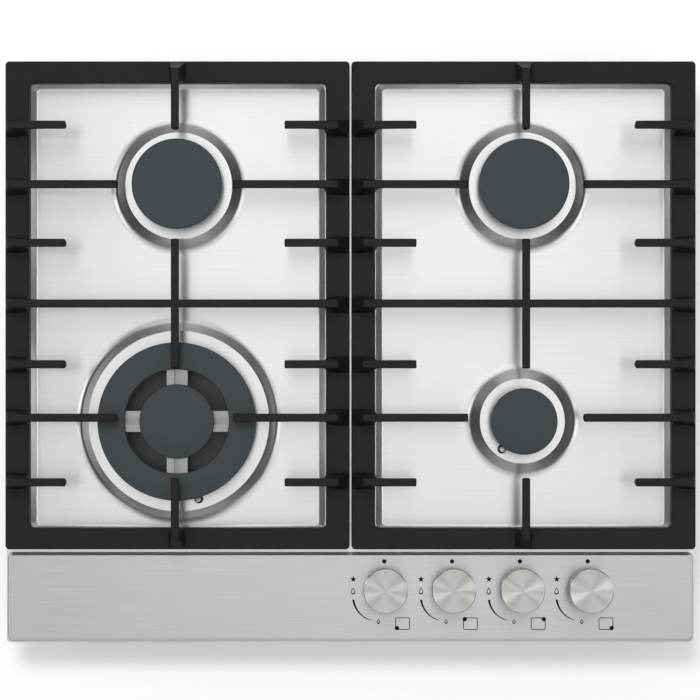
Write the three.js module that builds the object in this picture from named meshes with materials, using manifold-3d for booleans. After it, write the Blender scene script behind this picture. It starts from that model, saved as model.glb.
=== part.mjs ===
// A 60 cm built-in gas cooktop with four burners, the back to +Y and the control panel to -Y.
// Millimetres, +Z up. The origin is under the middle of the plate, at the underside of the tray.
import * as THREE from 'three';
import { mergeVertices } from 'three/addons/utils/BufferGeometryUtils.js';
import Module from 'manifold-3d';

const wasm = await Module();
wasm.setup();

// ---- Driving dimensions ----

// Fits
const seatGap = 0.3; // between pieces that touch
const slideGap = 0.5; // round a shaft or boss that moves in a hole
const weld = 0.6; // how far two solids of one casting run into each other

// Pressed top plate
const plateWidth = 600;
const plateDepth = 506;
const plateCorner = 3;
const plateBevel = 0.8;
const sheet = 1;
const worktopLevel = 42; // the worktop's surface above the underside of the tray
const rimHeight = 6; // hem underside to flange top
const hemWidth = 8;
const panelDepth = 78.7; // the plate's front edge to the foot of the step behind the panel
const panelRise = 4;
const panelStepRun = 2.3; // how far the panel's walls lean over its rise
const panelEdge = 1.2; // foot of the panel's walls inside the plate's edges
const panelCorner = 5;
const ridgeWidth = 44; // flange between the two wells
const sideFlange = 19.4;
const backFlange = 16.4;
const frontFlange = 17;
const wellDepth = 7;
const wellRun = 5.5; // how far a well's wall leans over its depth
const wellCorner = 4;
const plinthRise = 8; // burner plinth above the floor of the well
const plinthEdge = 0.9; // width of the rounded shoulder
const plinthShoulder = 0.1; // its height, as a share of the rise
const plinthCurve = [[0.38, 0.15], [0.72, 0.56]]; // the slope's shares of run and rise, from the foot

// Seal and bottom tray
const sealHeight = 2.7;
const sealWidth = 7.5;
const sealInset = 1;
const traySideInset = 24; // the tray's walls inside the plate's edges
const trayFrontInset = 19;
const trayBackInset = 18;
const traySheet = 1;
const trayLip = 8;
const slotLength = 46;
const slotWidth = 4;
const slotPitch = 18;
const slotCount = 5;

// Pan supports
const supportEdge = 1; // inside the plate's edge
const supportSplit = 1.6; // gap between the two supports
const supportFrontGap = 3.5; // behind the foot of the panel's step
const sideRailWidth = 20.6;
const endRailWidth = 18.5;
const railHeight = 9;
const railCorner = 3;
const railBevel = 1;
const fingerRise = 19.2; // top of a finger above the rails
const fingerWidth = 7;
const fingerFootWidth = 4;
const fingerBevel = 1;
const fingerDepth = 12;
const fingerTipDepth = 8;
const tipBevel = 2;
const heelWidth = 15;
const heelReach = 4.6; // a heel's top beyond the inner edge of its rail
const outerSetback = 4.5; // a heel's top behind the outer edge of an outer rail
const innerSetback = 9; // and behind the outer edge of an inner, front or back rail
const crossbarShift = 1.5; // crossbar in front of the middle between the burners
const innerRow = 51.8; // short fingers, each way from the crossbar
const outerRow = 152.6;
const backRowShift = -2.2; // long fingers behind their burner's middle
const frontRowShift = 3.6;
const shortTip = 93.5; // finger tips from the middle line of the support
const longTip = 49.4;
const middleBarReach = 55.5; // bar along the middle line, each way from the crossbar
const backBarTip = 45; // from the back burner's middle
const frontBarTip = 48; // from the front burner's middle

// Rubber feet of the pan supports
const footRadius = 4.5;
const footThickness = 1.2;
const footPegRadius = 2;
const footPegHeight = 4.5;
const footInset = 7; // a foot's middle inside the edges of its support

// Burners: where they stand
const frontPlinthGap = 8.3; // the wells' front walls to the foot of the largest front plinth
const backPlinthGap = 32.4; // the wells' back walls to the feet of the back plinths
const wokSizes = { foot: 89.1, plinth: 78.8, cap: 68.3 }; // radii of a plinth's foot and top and of the cap
const backSizes = { foot: 58.6, plinth: 46.6, cap: 38.9 };
const frontRightSizes = { foot: 49.7, plinth: 37, cap: 28.7 };

// Burners: heights
const cupFlange = 1.5;
const cupWall = 3;
const cupDepth = 34; // cup body below the plinth's top
const cupBowl = 12;
const mixingTube = 8;
const mixingBore = 5.5;
const jetHolderRadius = 8;
const jetHolderHeight = 11;
const crownHeight = 8.9;
const crownFloor = 2.4;
const crownWall = 5;
const crownTaper = 2;
const neckBore = 3.2;
const neckLength = 8;
const portWidth = 2.2;
const portDepth = 5;
const capThickness = 4.7;
const capDome = 0.8;
const capEdge = 1.3;
const capRim = 1.8; // locating rim under a cap
const capRimWall = 3;
const capRimGap = 0.9; // round the rim in its crown
const capDomeStop = 0.5; // where a cap's dome changes its slope, as a share of the radius
const capOverhang = 3;
const cupInset = 1.9; // cup's flange inside its crown's radius
const cupNeck = 4.5; // cup's body inside its flange

// Wok burner
const wokRingInner = 45;
const wokCentreCap = 32.1;
const wokCentreDome = 2.2;
const wokDomeStop = 0.6;
const wokRingWall = 5.5;
const bridgeWidth = 18;
const bridgeSlot = 5;
const bridgeSlotDepth = 3;

// Igniters
const wokIgniter = [17.6, -67.9]; // from the burner's middle
const backIgniter = [0, 36.4];
const frontRightIgniter = [-17.8, -24.5];
const openIgniterTop = 64.5; // of the igniters that show beside their caps
const coveredIgniterTop = 62.5;
const igniterRadius = 3.5;
const igniterCollar = 4.5;
const collarHeight = 1.5;
const igniterFoot = 6; // the cone under the collar
const igniterTip = 1.1;
const igniterTipHeight = 2.2;
const igniterNotch = 0.6;

// Control knobs and gas taps
const firstKnobX = 30;
const knobPitch = 59;
const knobFromFront = 47.6;
const knobRadius = 19;
const knobHeight = 15;
const knobLift = 4; // gap to the panel, which the push uses
const knobWall = 2.2;
const knobFace = 3.2;
const knobRim = 1;
const knobUndercut = 1.2;
const hubRadius = 6.5;
const hubDrop = 2;
const spindleRadius = 3;
const spindleFlat = 1; // depth of the flat
const spindleLength = 37.5;
const spindleHole = 7.3;
const pushTravel = 3.5;
const tapRadius = 13;
const tapHeight = 24;
const plugTopRadius = 7;
const plugFootRadius = 6;
const plugHeight = 20.5;
const outletRadius = 5.2;
const outletReach = 19;
const outletHeight = 7; // above the tap's underside

// Gas pipes
const manifoldRadius = 7;
const manifoldHeight = 10;
const saddleRadius = 9;
const saddleHeight = 18.4;
const manifoldBend = 14;
const manifoldClimb = 56; // from the foot of the manifold's climb to the pocket's front
const tubeRadius = 4;
const tubeHeight = 14;
const tubeBend = 12;
const tubeStraight = 19; // a tube's run out of its tap
const tubeSlant = 40; // and on to its turn towards the burners
const wokTubeSlant = 22;
const wokTubeAside = 35; // a tube's turn to the left of its tap
const backTubeAside = 45;
const frontTubeAside = 20;
const wokTubeGap = 20; // a tube's turn in front of the wok burner's cup
const ridgeLane = -20; // where the back left tube runs back, under the ridge
const rightLane = 45; // and the back right one, to the left of the right burners' middle
const laneGap = 40; // a lane's ends in front of the burner that its tube serves
const inletFromSide = 22; // inside the tray's walls
const inletFromBack = 23;
const inletRadius = 10.3;
const inletBore = 7;
const inletFlange = 13.5;
const inletFlangeThickness = 4.5;
const inletNeck = 8; // the stub's radius through the tray
const inletClearance = 3; // the inlet's end above the underside of the tray
const inletBlock = 22;
const pocketWidth = 46;
const pocketDepth = 50;
const pocketHeight = 27;

// Ignition and supply
const moduleX = 15;
const moduleFromBack = 51; // its middle inside the tray's back wall
const moduleWidth = 60;
const moduleDepth = 40;
const moduleHeight = 26;
const moduleCorner = 3;
const moduleBevel = 1.8;
const plugBlock = 7;
const plugBlockInset = 5; // its ends inside the module's
const leadRadius = 1.4;
const leadLevel = 36;
const leadBend = 5;
const leadTurn = 20; // a lead's last turn behind or in front of its igniter
const leadAside = 40; // and its first turn beside the plug block
const leadFan = 25; // how far before its last turn a front lead starts to fan out
const frontLeads = { wok: -8, wokFan: -45, switches: 3, right: 14, rightFan: 40 }; // where they run, along X
const leadInPlug = 1; // a lead's end inside its plug or switch
const supplyTurn = [-60, 16]; // the supply lead's first turn: along X, and inside the tray's back wall
const supplyRun = 13; // its run along the back wall, inside it
const switchRadius = 8.5;
const switchHeight = 4;
const glandFromSide = 76; // inside the tray's left wall
const glandLevel = 8.5;
const glandRadius = 6;
const glandNeck = 4.2;
const glandBore = 2.5;
const glandReach = 9;

// Worktop clamps
const clampSheet = 2;
const clampWidth = 30;
const clampHeight = 29;
const clampFoot = 1; // above the underside of the tray
const clampReach = 18;
const clampTravel = 10;
const studRadius = 2;
const studHead = 3.6;
const studHeadThickness = 1.4;
const backClampY = 150;
const frontClampY = -120;

// Roundness of the revolved pieces
const largeSteps = 28;
const mediumSteps = 20;
const castingSteps = 16;
const turnedSteps = 12;
const smallSteps = 8;
const postSides = 6;
const leadSides = 4;
const cornerSteps = 3;
const bendSteps = 2;
const smallestCorner = 0.2;
const bendShare = 0.45; // of a straight run, the most that one bend takes

// ---- Levels and places that follow from them ----

const halfWidth = plateWidth / 2;
const halfDepth = plateDepth / 2;
const hemBottom = worktopLevel + sealHeight + seatGap;
const flangeTop = hemBottom + rimHeight;
const panelTop = flangeTop + panelRise;
const wellFloor = flangeTop - wellDepth;
const plinthTop = wellFloor + plinthRise;
const panelFoot = -halfDepth + panelDepth;
const panelLean = panelStepRun / panelRise;
const wellLean = wellRun / wellDepth;
const wellFront = panelFoot + frontFlange;
const wellBack = halfDepth - backFlange;
const wells = [-1, 1].map((side) => {
  const inner = side * (ridgeWidth / 2);
  const outer = side * (halfWidth - sideFlange);
  return {
    left: Math.min(inner, outer),
    right: Math.max(inner, outer),
    front: wellFront,
    back: wellBack,
  };
});

const supportInner = supportSplit / 2;
const supportOuter = halfWidth - supportEdge;
const supportLine = (supportInner + supportOuter) / 2;
const supportFront = panelFoot + supportFrontGap;
const supportBack = halfDepth - supportEdge;
const footBottom = flangeTop + seatGap;
const railBottom = footBottom + footThickness + seatGap;
const railTop = railBottom + railHeight;
const fingerTop = railTop + fingerRise;

const backBurnerY = wellBack - backPlinthGap - backSizes.foot;
const frontBurnerY = wellFront + frontPlinthGap + wokSizes.foot;
const crossbarY = (backBurnerY + frontBurnerY) / 2 - crossbarShift;
const cupFlangeBottom = plinthTop + seatGap;
const crownBottom = cupFlangeBottom + cupFlange + seatGap;
const crownTop = crownBottom + crownHeight;
const capBottom = crownTop + seatGap;
const capTop = capBottom + capThickness;
const cupBottom = plinthTop - cupDepth;
const jetHolderBottom = cupBottom - jetHolderHeight;

const burners = [
  {
    name: 'wok', x: -supportLine, y: frontBurnerY, ...wokSizes,
    igniter: wokIgniter, igniterTop: openIgniterTop,
    plinthSteps: largeSteps, steps: largeSteps, ports: 16,
  },
  {
    name: 'back_left', x: -supportLine, y: backBurnerY, ...backSizes,
    igniter: backIgniter, igniterTop: coveredIgniterTop,
    plinthSteps: mediumSteps, steps: mediumSteps, ports: 10,
  },
  {
    name: 'back_right', x: supportLine, y: backBurnerY, ...backSizes,
    igniter: backIgniter, igniterTop: coveredIgniterTop,
    plinthSteps: mediumSteps, steps: mediumSteps, ports: 10,
  },
  {
    name: 'front_right', x: supportLine, y: frontBurnerY, ...frontRightSizes,
    igniter: frontRightIgniter, igniterTop: openIgniterTop,
    plinthSteps: mediumSteps, steps: mediumSteps, ports: 10,
  },
];
for (const burner of burners) {
  burner.crown = burner.cap - capOverhang;
  burner.flange = burner.crown - cupInset;
  burner.body = burner.flange - cupNeck;
}

const knobY = -halfDepth + knobFromFront;
const knobXs = [0, 1, 2, 3].map((index) => firstKnobX + index * knobPitch);
const knobBottom = panelTop + knobLift;
const knobTop = knobBottom + knobHeight;
const saddleTop = traySheet + seatGap + saddleHeight;
const tapBottom = saddleTop + seatGap;
const tapTop = tapBottom + tapHeight;
const outletLevel = tapBottom + outletHeight;
const spindleTop = knobTop - knobFace - seatGap;
const spindleBottom = spindleTop - spindleLength;
const plugTop = tapTop - seatGap;
const plugBottom = plugTop - plugHeight;

const traySide = halfWidth - traySideInset;
const trayFront = -halfDepth + trayFrontInset;
const trayBack = halfDepth - trayBackInset;
const trayTop = wellFloor - sheet - seatGap;
const trayFrontTop = panelTop - sheet - seatGap;
const inletX = traySide - inletFromSide;
const inletY = trayBack - inletFromBack;
const inletBlockBottom = pocketHeight + traySheet + seatGap;
const inletPipeLevel = inletBlockBottom + manifoldRadius;
const moduleY = trayBack - moduleFromBack;
const glandX = glandFromSide - traySide;

// ---- Solids ----

// A closed geometry as a solid. A profile may be drawn either way round, so a solid that comes
// out inside out is turned.
function solidOf(geometry) {
  const bare = geometry.clone();
  bare.deleteAttribute('normal');
  bare.deleteAttribute('uv');
  const merged = mergeVertices(bare, 1e-4);
  const places = merged.attributes.position.array;
  const corner = (index) => new THREE.Vector3().fromArray(places, index * 3);
  const triangles = [];
  let volume = 0;
  for (let start = 0; start < merged.index.count; start += 3) {
    const [a, b, c] = [0, 1, 2].map((step) => merged.index.getX(start + step));
    if (a === b || b === c || c === a) continue;
    triangles.push([a, b, c]);
    volume += corner(a).dot(corner(b).cross(corner(c)));
  }
  const facingOut = volume > 0 ? triangles : triangles.map(([a, b, c]) => [a, c, b]);
  return new wasm.Manifold(new wasm.Mesh({
    numProp: 3,
    vertProperties: new Float32Array(places),
    triVerts: new Uint32Array(facingOut.flat()),
  }));
}

function geometryOf(solid) {
  const mesh = solid.getMesh();
  const geometry = new THREE.BufferGeometry();
  geometry.setAttribute('position', new THREE.BufferAttribute(new Float32Array(mesh.vertProperties), 3));
  geometry.setIndex(new THREE.BufferAttribute(new Uint32Array(mesh.triVerts), 1));
  return geometry;
}

const join = (solids) => solids.reduce((whole, solid) => whole.add(solid));

const cutAway = (solid, cutters) => cutters.reduce((rest, cutter) => rest.subtract(cutter), solid);

function box(low, high) {
  const size = high.map((value, axis) => value - low[axis]);
  const middle = high.map((value, axis) => (value + low[axis]) / 2);
  return solidOf(new THREE.BoxGeometry(...size).translate(...middle));
}

// An outline on XY, raised from one level to another
function raise(outline, bottom, top) {
  const geometry = new THREE.ExtrudeGeometry(outline, {
    depth: top - bottom, bevelEnabled: false, curveSegments: smallSteps,
  });
  return solidOf(geometry.translate(0, 0, bottom));
}

// An outline drawn as (y, z) and run along X
function runAlongX(points, left, right) {
  const outline = new THREE.Shape(points.map(([y, z]) => new THREE.Vector2(y, z)));
  const geometry = new THREE.ExtrudeGeometry(outline, { depth: right - left, bevelEnabled: false });
  const turn = new THREE.Matrix4().set(0, 0, 1, left, 1, 0, 0, 0, 0, 1, 0, 0, 0, 0, 0, 1);
  return solidOf(geometry.applyMatrix4(turn));
}

// A profile of (radius, level) that turns about +Z
function revolve(profile, steps, x = 0, y = 0) {
  const points = profile.map(([radius, level]) => new THREE.Vector2(radius, level));
  const geometry = new THREE.LatheGeometry(points, steps);
  return solidOf(geometry.rotateX(Math.PI / 2).translate(x, y, 0));
}

function cylinder(radius, bottom, top, steps, x = 0, y = 0) {
  return revolve([[0, bottom], [radius, bottom], [radius, top], [0, top]], steps, x, y);
}

// A skin through convex loops with as many points each, closed by its first and last loop
function loft(loops) {
  const count = loops[0].length;
  const index = [];
  for (let level = 0; level + 1 < loops.length; level += 1) {
    for (let step = 0; step < count; step += 1) {
      const next = (step + 1) % count;
      const [a, b] = [level * count + step, level * count + next];
      index.push(a, b, b + count, a, b + count, a + count);
    }
  }
  const last = (loops.length - 1) * count;
  for (let step = 1; step + 1 < count; step += 1) {
    index.push(0, step + 1, step, last, last + step, last + step + 1);
  }
  const geometry = new THREE.BufferGeometry();
  geometry.setAttribute('position', new THREE.Float32BufferAttribute(loops.flat(2), 3));
  geometry.setIndex(index);
  return solidOf(geometry);
}

// A level loop round a rectangle with rounded corners, moved out by grow
function ringLoop({ left, right, front, back }, corner, level, grow = 0) {
  const radius = Math.max(corner + grow, smallestCorner);
  const centres = [
    [right + grow - radius, back + grow - radius, 0],
    [left - grow + radius, back + grow - radius, 1],
    [left - grow + radius, front - grow + radius, 2],
    [right + grow - radius, front - grow + radius, 3],
  ];
  return centres.flatMap(([x, y, quarter]) => {
    const places = [];
    for (let step = 0; step <= cornerSteps; step += 1) {
      const angle = (quarter + step / cornerSteps) * Math.PI / 2;
      places.push([x + radius * Math.cos(angle), y + radius * Math.sin(angle), level]);
    }
    return places;
  });
}

// A rounded block whose top edge is bevelled
function bevelledBlock(plan, corner, bottom, top, bevel) {
  return loft([
    ringLoop(plan, corner, bottom),
    ringLoop(plan, corner, top - bevel),
    ringLoop(plan, corner, top, -bevel),
  ]);
}

// A route of straight runs with rounded corners, one step between each pair of its points
class BentRoute extends THREE.Curve {
  constructor(corners, bend, rounds) {
    super();
    const spots = corners.map((corner) => new THREE.Vector3(...corner));
    this.stops = [spots[0]];
    for (let index = 1; index + 1 < spots.length; index += 1) {
      const back = spots[index - 1].clone().sub(spots[index]);
      const ahead = spots[index + 1].clone().sub(spots[index]);
      const reach = Math.min(bend, back.length() * bendShare, ahead.length() * bendShare);
      const start = back.setLength(reach).add(spots[index]);
      const end = ahead.setLength(reach).add(spots[index]);
      const turn = new THREE.QuadraticBezierCurve3(start, spots[index], end);
      this.stops.push(...turn.getPoints(rounds));
    }
    this.stops.push(spots[spots.length - 1]);
  }

  get steps() {
    return this.stops.length - 1;
  }

  getPointAt(share) {
    return this.stops[Math.round(share * this.steps)].clone();
  }

  getTangentAt(share) {
    const index = Math.round(share * this.steps);
    const before = this.stops[Math.max(index - 1, 0)];
    const after = this.stops[Math.min(index + 1, this.steps)];
    return after.clone().sub(before).normalize();
  }
}

function pipe(corners, radius, bend, sides, rounds = bendSteps) {
  const route = new BentRoute(corners, bend, rounds);
  const section = new THREE.Shape();
  section.absarc(0, 0, radius, 0, 2 * Math.PI);
  return solidOf(new THREE.ExtrudeGeometry(section, {
    steps: route.steps, extrudePath: route, bevelEnabled: false, curveSegments: sides / 2,
  }));
}

// ---- The assembly ----

const cooktop = new THREE.Group();

const finishes = {
  brushedSteel: { color: 0xd4d5d6, roughness: 0.32, metalness: 1 },
  spunAluminium: { color: 0xb9bab8, roughness: 0.28, metalness: 1 },
  castAluminium: { color: 0xa9abad, roughness: 0.5, metalness: 1 },
  enamelledIron: { color: 0x28282d, roughness: 0.55, metalness: 0 },
  capEnamel: { color: 0x3c4146, roughness: 0.42, metalness: 0 },
  galvanisedSteel: { color: 0xa4a8aa, roughness: 0.45, metalness: 1 },
  brass: { color: 0xb6974f, roughness: 0.35, metalness: 1 },
  whiteCeramic: { color: 0xe6e2d8, roughness: 0.4, metalness: 0 },
  blackRubber: { color: 0x1c1c1d, roughness: 0.85, metalness: 0 },
  greyFoam: { color: 0x3a3b3c, roughness: 0.95, metalness: 0 },
  blackPlastic: { color: 0x1e1f21, roughness: 0.5, metalness: 0 },
  leadRubber: { color: 0x7c2a22, roughness: 0.6, metalness: 0 },
};

function addPart(name, solid, finish, parent = cooktop) {
  const mesh = new THREE.Mesh(geometryOf(solid), new THREE.MeshStandardMaterial(finishes[finish]));
  mesh.name = name;
  parent.add(mesh);
  return mesh;
}

function groupAt(x, y) {
  const group = new THREE.Group();
  group.position.set(x, y, 0);
  cooktop.add(group);
  return group;
}

// ---- Top plate ----

const plan = { left: -halfWidth, right: halfWidth, front: -halfDepth, back: halfDepth };

// The raised panel's wall at a level: the face that shows, or with a skin the face below the sheet
function panelLoop(level, skin = 0) {
  const foot = {
    left: plan.left + panelEdge,
    right: plan.right - panelEdge,
    front: plan.front + panelEdge,
    back: panelFoot,
  };
  const lean = (level - flangeTop) * panelLean + skin * Math.hypot(1, panelLean);
  return ringLoop(foot, panelCorner, level, -lean);
}

// The rim, flange and raised panel as one block, or the hollow under its sheet
function plateBlock(skin, bottom) {
  const rim = {
    left: plan.left + skin, right: plan.right - skin, front: plan.front + skin, back: plan.back - skin,
  };
  const flange = bevelledBlock(rim, plateCorner - skin, bottom, flangeTop - skin, plateBevel - skin / 2);
  const panel = loft([panelLoop(flangeTop - skin - weld, skin), panelLoop(panelTop - skin, skin)]);
  return flange.add(panel);
}

// A well's wall at a level: the face that shows, or with a skin the face below the sheet
function wellLoop(well, level, skin = 0) {
  const lean = (level - flangeTop) * wellLean + skin * Math.hypot(1, wellLean);
  return ringLoop(well, wellCorner + wellRun, level, lean);
}

// The pressed slope of a plinth as (radius, level), from its foot to its shoulder
function plinthSlope({ foot, plinth }) {
  const run = foot - plinth;
  return [
    [foot, wellFloor],
    ...plinthCurve.map(([across, up]) => [foot - across * run, wellFloor + up * plinthRise]),
    [plinth + plinthEdge / 2, plinthTop - plinthShoulder * plinthRise],
    [plinth - plinthEdge, plinthTop],
  ];
}

// A line of (radius, level) points, moved square to itself by the sheet's thickness
function underside(line) {
  return line.map((point, index) => {
    const before = line[Math.max(index - 1, 0)];
    const after = line[Math.min(index + 1, line.length - 1)];
    const length = Math.hypot(after[0] - before[0], after[1] - before[1]);
    const across = [(after[1] - before[1]) / length, (after[0] - before[0]) / length];
    return [point[0] - across[0] * sheet, point[1] + across[1] * sheet];
  });
}

function plinthSolid(burner) {
  const hole = burner.body + slideGap;
  const start = [burner.foot + weld, wellFloor];
  const slope = plinthSlope(burner);
  const [, lowFillet, highFillet, shoulder] = underside([start, ...slope].slice(1, 5));
  const lower = [
    [start[0], wellFloor - sheet],
    [burner.foot, wellFloor - sheet],
    lowFillet,
    highFillet,
    [shoulder[0], plinthTop - sheet],
    [hole, plinthTop - sheet],
  ];
  const profile = [start, ...slope, [hole, plinthTop], ...lower.reverse(), start];
  return revolve(profile, burner.plinthSteps, burner.x, burner.y);
}

function topPlate() {
  const hollow = plateBlock(sheet, hemBottom + sheet);
  const hemHole = raise(rectangle(plan, -hemWidth - sheet), hemBottom - 1, hemBottom + 2 * sheet);
  const wellSkins = wells.map((well) => loft([
    wellLoop(well, wellFloor - sheet, sheet),
    wellLoop(well, flangeTop - sheet / 2, sheet),
  ]));
  const wellHollows = wells.map((well) => loft([
    wellLoop(well, wellFloor),
    wellLoop(well, flangeTop),
    wellLoop(well, flangeTop + 1),
  ]));
  const plinthHoles = burners.map(({ foot, x, y, plinthSteps }) => (
    cylinder(foot, wellFloor - sheet - 1, plinthTop + 1, plinthSteps, x, y)
  ));
  const shell = plateBlock(0, hemBottom).subtract(hollow).subtract(hemHole);
  const pans = cutAway(join([shell, ...wellSkins]), wellHollows);
  const pressed = join([cutAway(pans, plinthHoles), ...burners.map(plinthSolid)]);
  const igniterHoles = burners.map(({ x, y, igniter }) => cylinder(
    igniterRadius + slideGap, wellFloor, plinthTop + 1, smallSteps, x + igniter[0], y + igniter[1],
  ));
  const spindleHoles = knobXs.map((x) => (
    cylinder(spindleHole, flangeTop, panelTop + 1, turnedSteps, x, knobY)
  ));
  return cutAway(pressed, [...igniterHoles, ...spindleHoles]);
}

function rectangle({ left, right, front, back }, grow = 0) {
  return new THREE.Shape([
    new THREE.Vector2(left - grow, front - grow),
    new THREE.Vector2(right + grow, front - grow),
    new THREE.Vector2(right + grow, back + grow),
    new THREE.Vector2(left - grow, back + grow),
  ]);
}

addPart('top_plate', topPlate(), 'brushedSteel');

// ---- Seal ----

function worktopSeal() {
  const outer = raise(rectangle(plan, -sealInset), worktopLevel, worktopLevel + sealHeight);
  const inner = raise(rectangle(plan, -sealInset - sealWidth), worktopLevel - 1, hemBottom);
  return outer.subtract(inner);
}

addPart('worktop_seal', worktopSeal(), 'greyFoam');

// ---- Bottom tray ----

const pocketLeft = inletX - pocketWidth / 2;
const pocketFront = trayBack - pocketDepth;
const panelWallBack = panelFoot - 2 * panelStepRun; // tall walls end in front of the panel's step

function trayBlock(inset, floor, top, frontTop) {
  return runAlongX([
    [trayFront + inset, floor],
    [trayBack - inset, floor],
    [trayBack - inset, top],
    [panelWallBack - inset, top],
    [panelWallBack - inset, frontTop],
    [trayFront + inset, frontTop],
  ], -traySide + inset, traySide - inset);
}

function ventSlots() {
  const slots = [];
  for (const side of [-1, 1]) {
    for (let index = 0; index < slotCount; index += 1) {
      const x = side * traySide / 2;
      const y = (index - (slotCount - 1) / 2) * slotPitch + (frontBurnerY + backBurnerY) / 2;
      slots.push(box(
        [x - slotLength / 2, y - slotWidth / 2, -1],
        [x + slotLength / 2, y + slotWidth / 2, traySheet + 1],
      ));
    }
  }
  return slots;
}

function bottomTray() {
  const outer = trayBlock(0, 0, trayTop, trayFrontTop);
  const hollow = trayBlock(traySheet, traySheet, trayTop - traySheet, trayFrontTop - traySheet);
  const mouth = trayBlock(trayLip, trayTop / 2, trayTop + 1, trayFrontTop + 1);
  const pocketTop = pocketHeight + traySheet;
  const pocketShell = box(
    [pocketLeft - traySheet, pocketFront - traySheet, 0],
    [traySide, trayBack, pocketTop],
  );
  const pocketHollow = box([pocketLeft, pocketFront, -1], [plateWidth, plateDepth, pocketHeight]);
  const inletHole = cylinder(inletNeck + slideGap, 0, pocketTop + 1, turnedSteps, inletX, inletY);
  const glandHole = solidOf(new THREE.CylinderGeometry(
    glandNeck + slideGap, glandNeck + slideGap, trayLip, smallSteps,
  ).translate(glandX, trayBack, glandLevel));
  const studs = clampPlaces.map(({ side, y }) => clampStud(side, y));
  const shell = cutAway(outer, [hollow, mouth]).add(pocketShell);
  return join([cutAway(shell, [pocketHollow, inletHole, glandHole, ...ventSlots()]), ...studs]);
}

// ---- Worktop clamps: brackets that slide on headed studs of the tray ----

const clampPlaces = [
  { name: 'worktop_clamp_front_left', side: -1, y: frontClampY },
  { name: 'worktop_clamp_front_right', side: 1, y: frontClampY },
  { name: 'worktop_clamp_back_left', side: -1, y: backClampY },
  { name: 'worktop_clamp_back_right', side: 1, y: backClampY },
];
const studLevel = clampFoot + clampHeight - 2 * studHead;

// A stud lies along X, from the tray's side to a head outside the bracket
function clampStud(side, y) {
  const start = traySide - weld;
  const neckEnd = traySide + clampSheet + 2 * seatGap;
  const headEnd = neckEnd + studHeadThickness;
  const shape = revolve([
    [0, start],
    [studRadius, start],
    [studRadius, neckEnd],
    [studHead, neckEnd],
    [studHead, headEnd],
    [0, headEnd],
  ], smallSteps);
  const lie = new THREE.Matrix4().makeRotationY(side * Math.PI / 2).setPosition(0, y, studLevel);
  return solidOf(geometryOf(shape).applyMatrix4(lie));
}

function worktopClamp() {
  const face = traySide + seatGap;
  const slotReach = studRadius + seatGap;
  const upright = box(
    [face, -clampWidth / 2, clampFoot],
    [face + clampSheet, clampWidth / 2, clampFoot + clampHeight],
  );
  const lip = box(
    [face, -clampWidth / 2, clampFoot],
    [face + clampReach, clampWidth / 2, clampFoot + clampSheet],
  );
  const slot = box(
    [face - 1, -slotReach, studLevel - clampTravel - slotReach],
    [face + clampSheet + 1, slotReach, studLevel + slotReach],
  );
  return upright.add(lip).subtract(slot);
}

addPart('bottom_tray', bottomTray(), 'galvanisedSteel');
for (const { name, side, y } of clampPlaces) {
  const clamp = addPart(name, worktopClamp(), 'galvanisedSteel', groupAt(0, y));
  clamp.rotation.z = side > 0 ? 0 : Math.PI;
}

// ---- Pan supports ----

// A finger's section at a place along it: six corners across, as (across, level)
function fingerSection(depth, shrink = 0) {
  const half = fingerWidth / 2 - shrink;
  const top = fingerTop - shrink;
  return [
    [-half, top - fingerBevel],
    [-fingerFootWidth / 2, fingerTop - depth],
    [fingerFootWidth / 2, fingerTop - depth],
    [half, top - fingerBevel],
    [half - fingerBevel, top],
    [-half + fingerBevel, top],
  ];
}

// A bar from one end to the other along X, each end { at, tip }, at height and width of a finger
function fingerBar(start, end) {
  const direction = Math.sign(end.at - start.at);
  const stations = [];
  const addStation = (at, depth, shrink) => (
    stations.push(fingerSection(depth, shrink).map(([across, level]) => [at, across, level]))
  );
  if (start.tip) {
    addStation(start.at, fingerTipDepth, tipBevel / 2);
    addStation(start.at + direction * tipBevel, fingerTipDepth);
  } else {
    addStation(start.at, fingerDepth);
  }
  if (start.tip && end.tip) addStation((start.at + end.at) / 2, fingerDepth);
  if (end.tip) {
    addStation(end.at - direction * tipBevel, fingerTipDepth);
    addStation(end.at, fingerTipDepth, tipBevel / 2);
  } else {
    addStation(end.at, fingerDepth);
  }
  return loft(stations);
}

// The flared foot of a finger on its rail, which lies from x = 0 inwards
function heel(railWidth, setback) {
  const shoulder = fingerTop - fingerBevel;
  const cross = (from, to, width, level) => [
    [from, -width / 2, level], [to, -width / 2, level], [to, width / 2, level], [from, width / 2, level],
  ];
  const waist = (railTop + shoulder) / 2;
  const inner = railWidth + heelReach;
  return loft([
    cross(railBevel, railWidth, heelWidth, railTop - weld),
    cross(railBevel + setback / 2, inner - heelReach / 2, (heelWidth + fingerWidth) / 2, waist),
    cross(railBevel + setback, inner, fingerWidth, shoulder),
  ]);
}

// A finger with its heel, from a rail's outer edge at x = 0 to its tip at x = length
function finger(railWidth, setback, length) {
  const bar = fingerBar({ at: railBevel + setback }, { at: length, tip: true });
  return bar.add(heel(railWidth, setback));
}

function place(solid, x, y, turn) {
  const move = new THREE.Matrix4().makeRotationZ(turn).setPosition(x, y, 0);
  return solidOf(geometryOf(solid).applyMatrix4(move));
}

const footPlaces = (side) => {
  const outerX = side * (supportOuter - footInset);
  const innerX = side * (supportInner + footInset);
  const frontY = supportFront + footInset;
  const backY = supportBack - footInset;
  return [[outerX, frontY], [innerX, frontY], [outerX, backY], [innerX, backY]];
};

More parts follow.
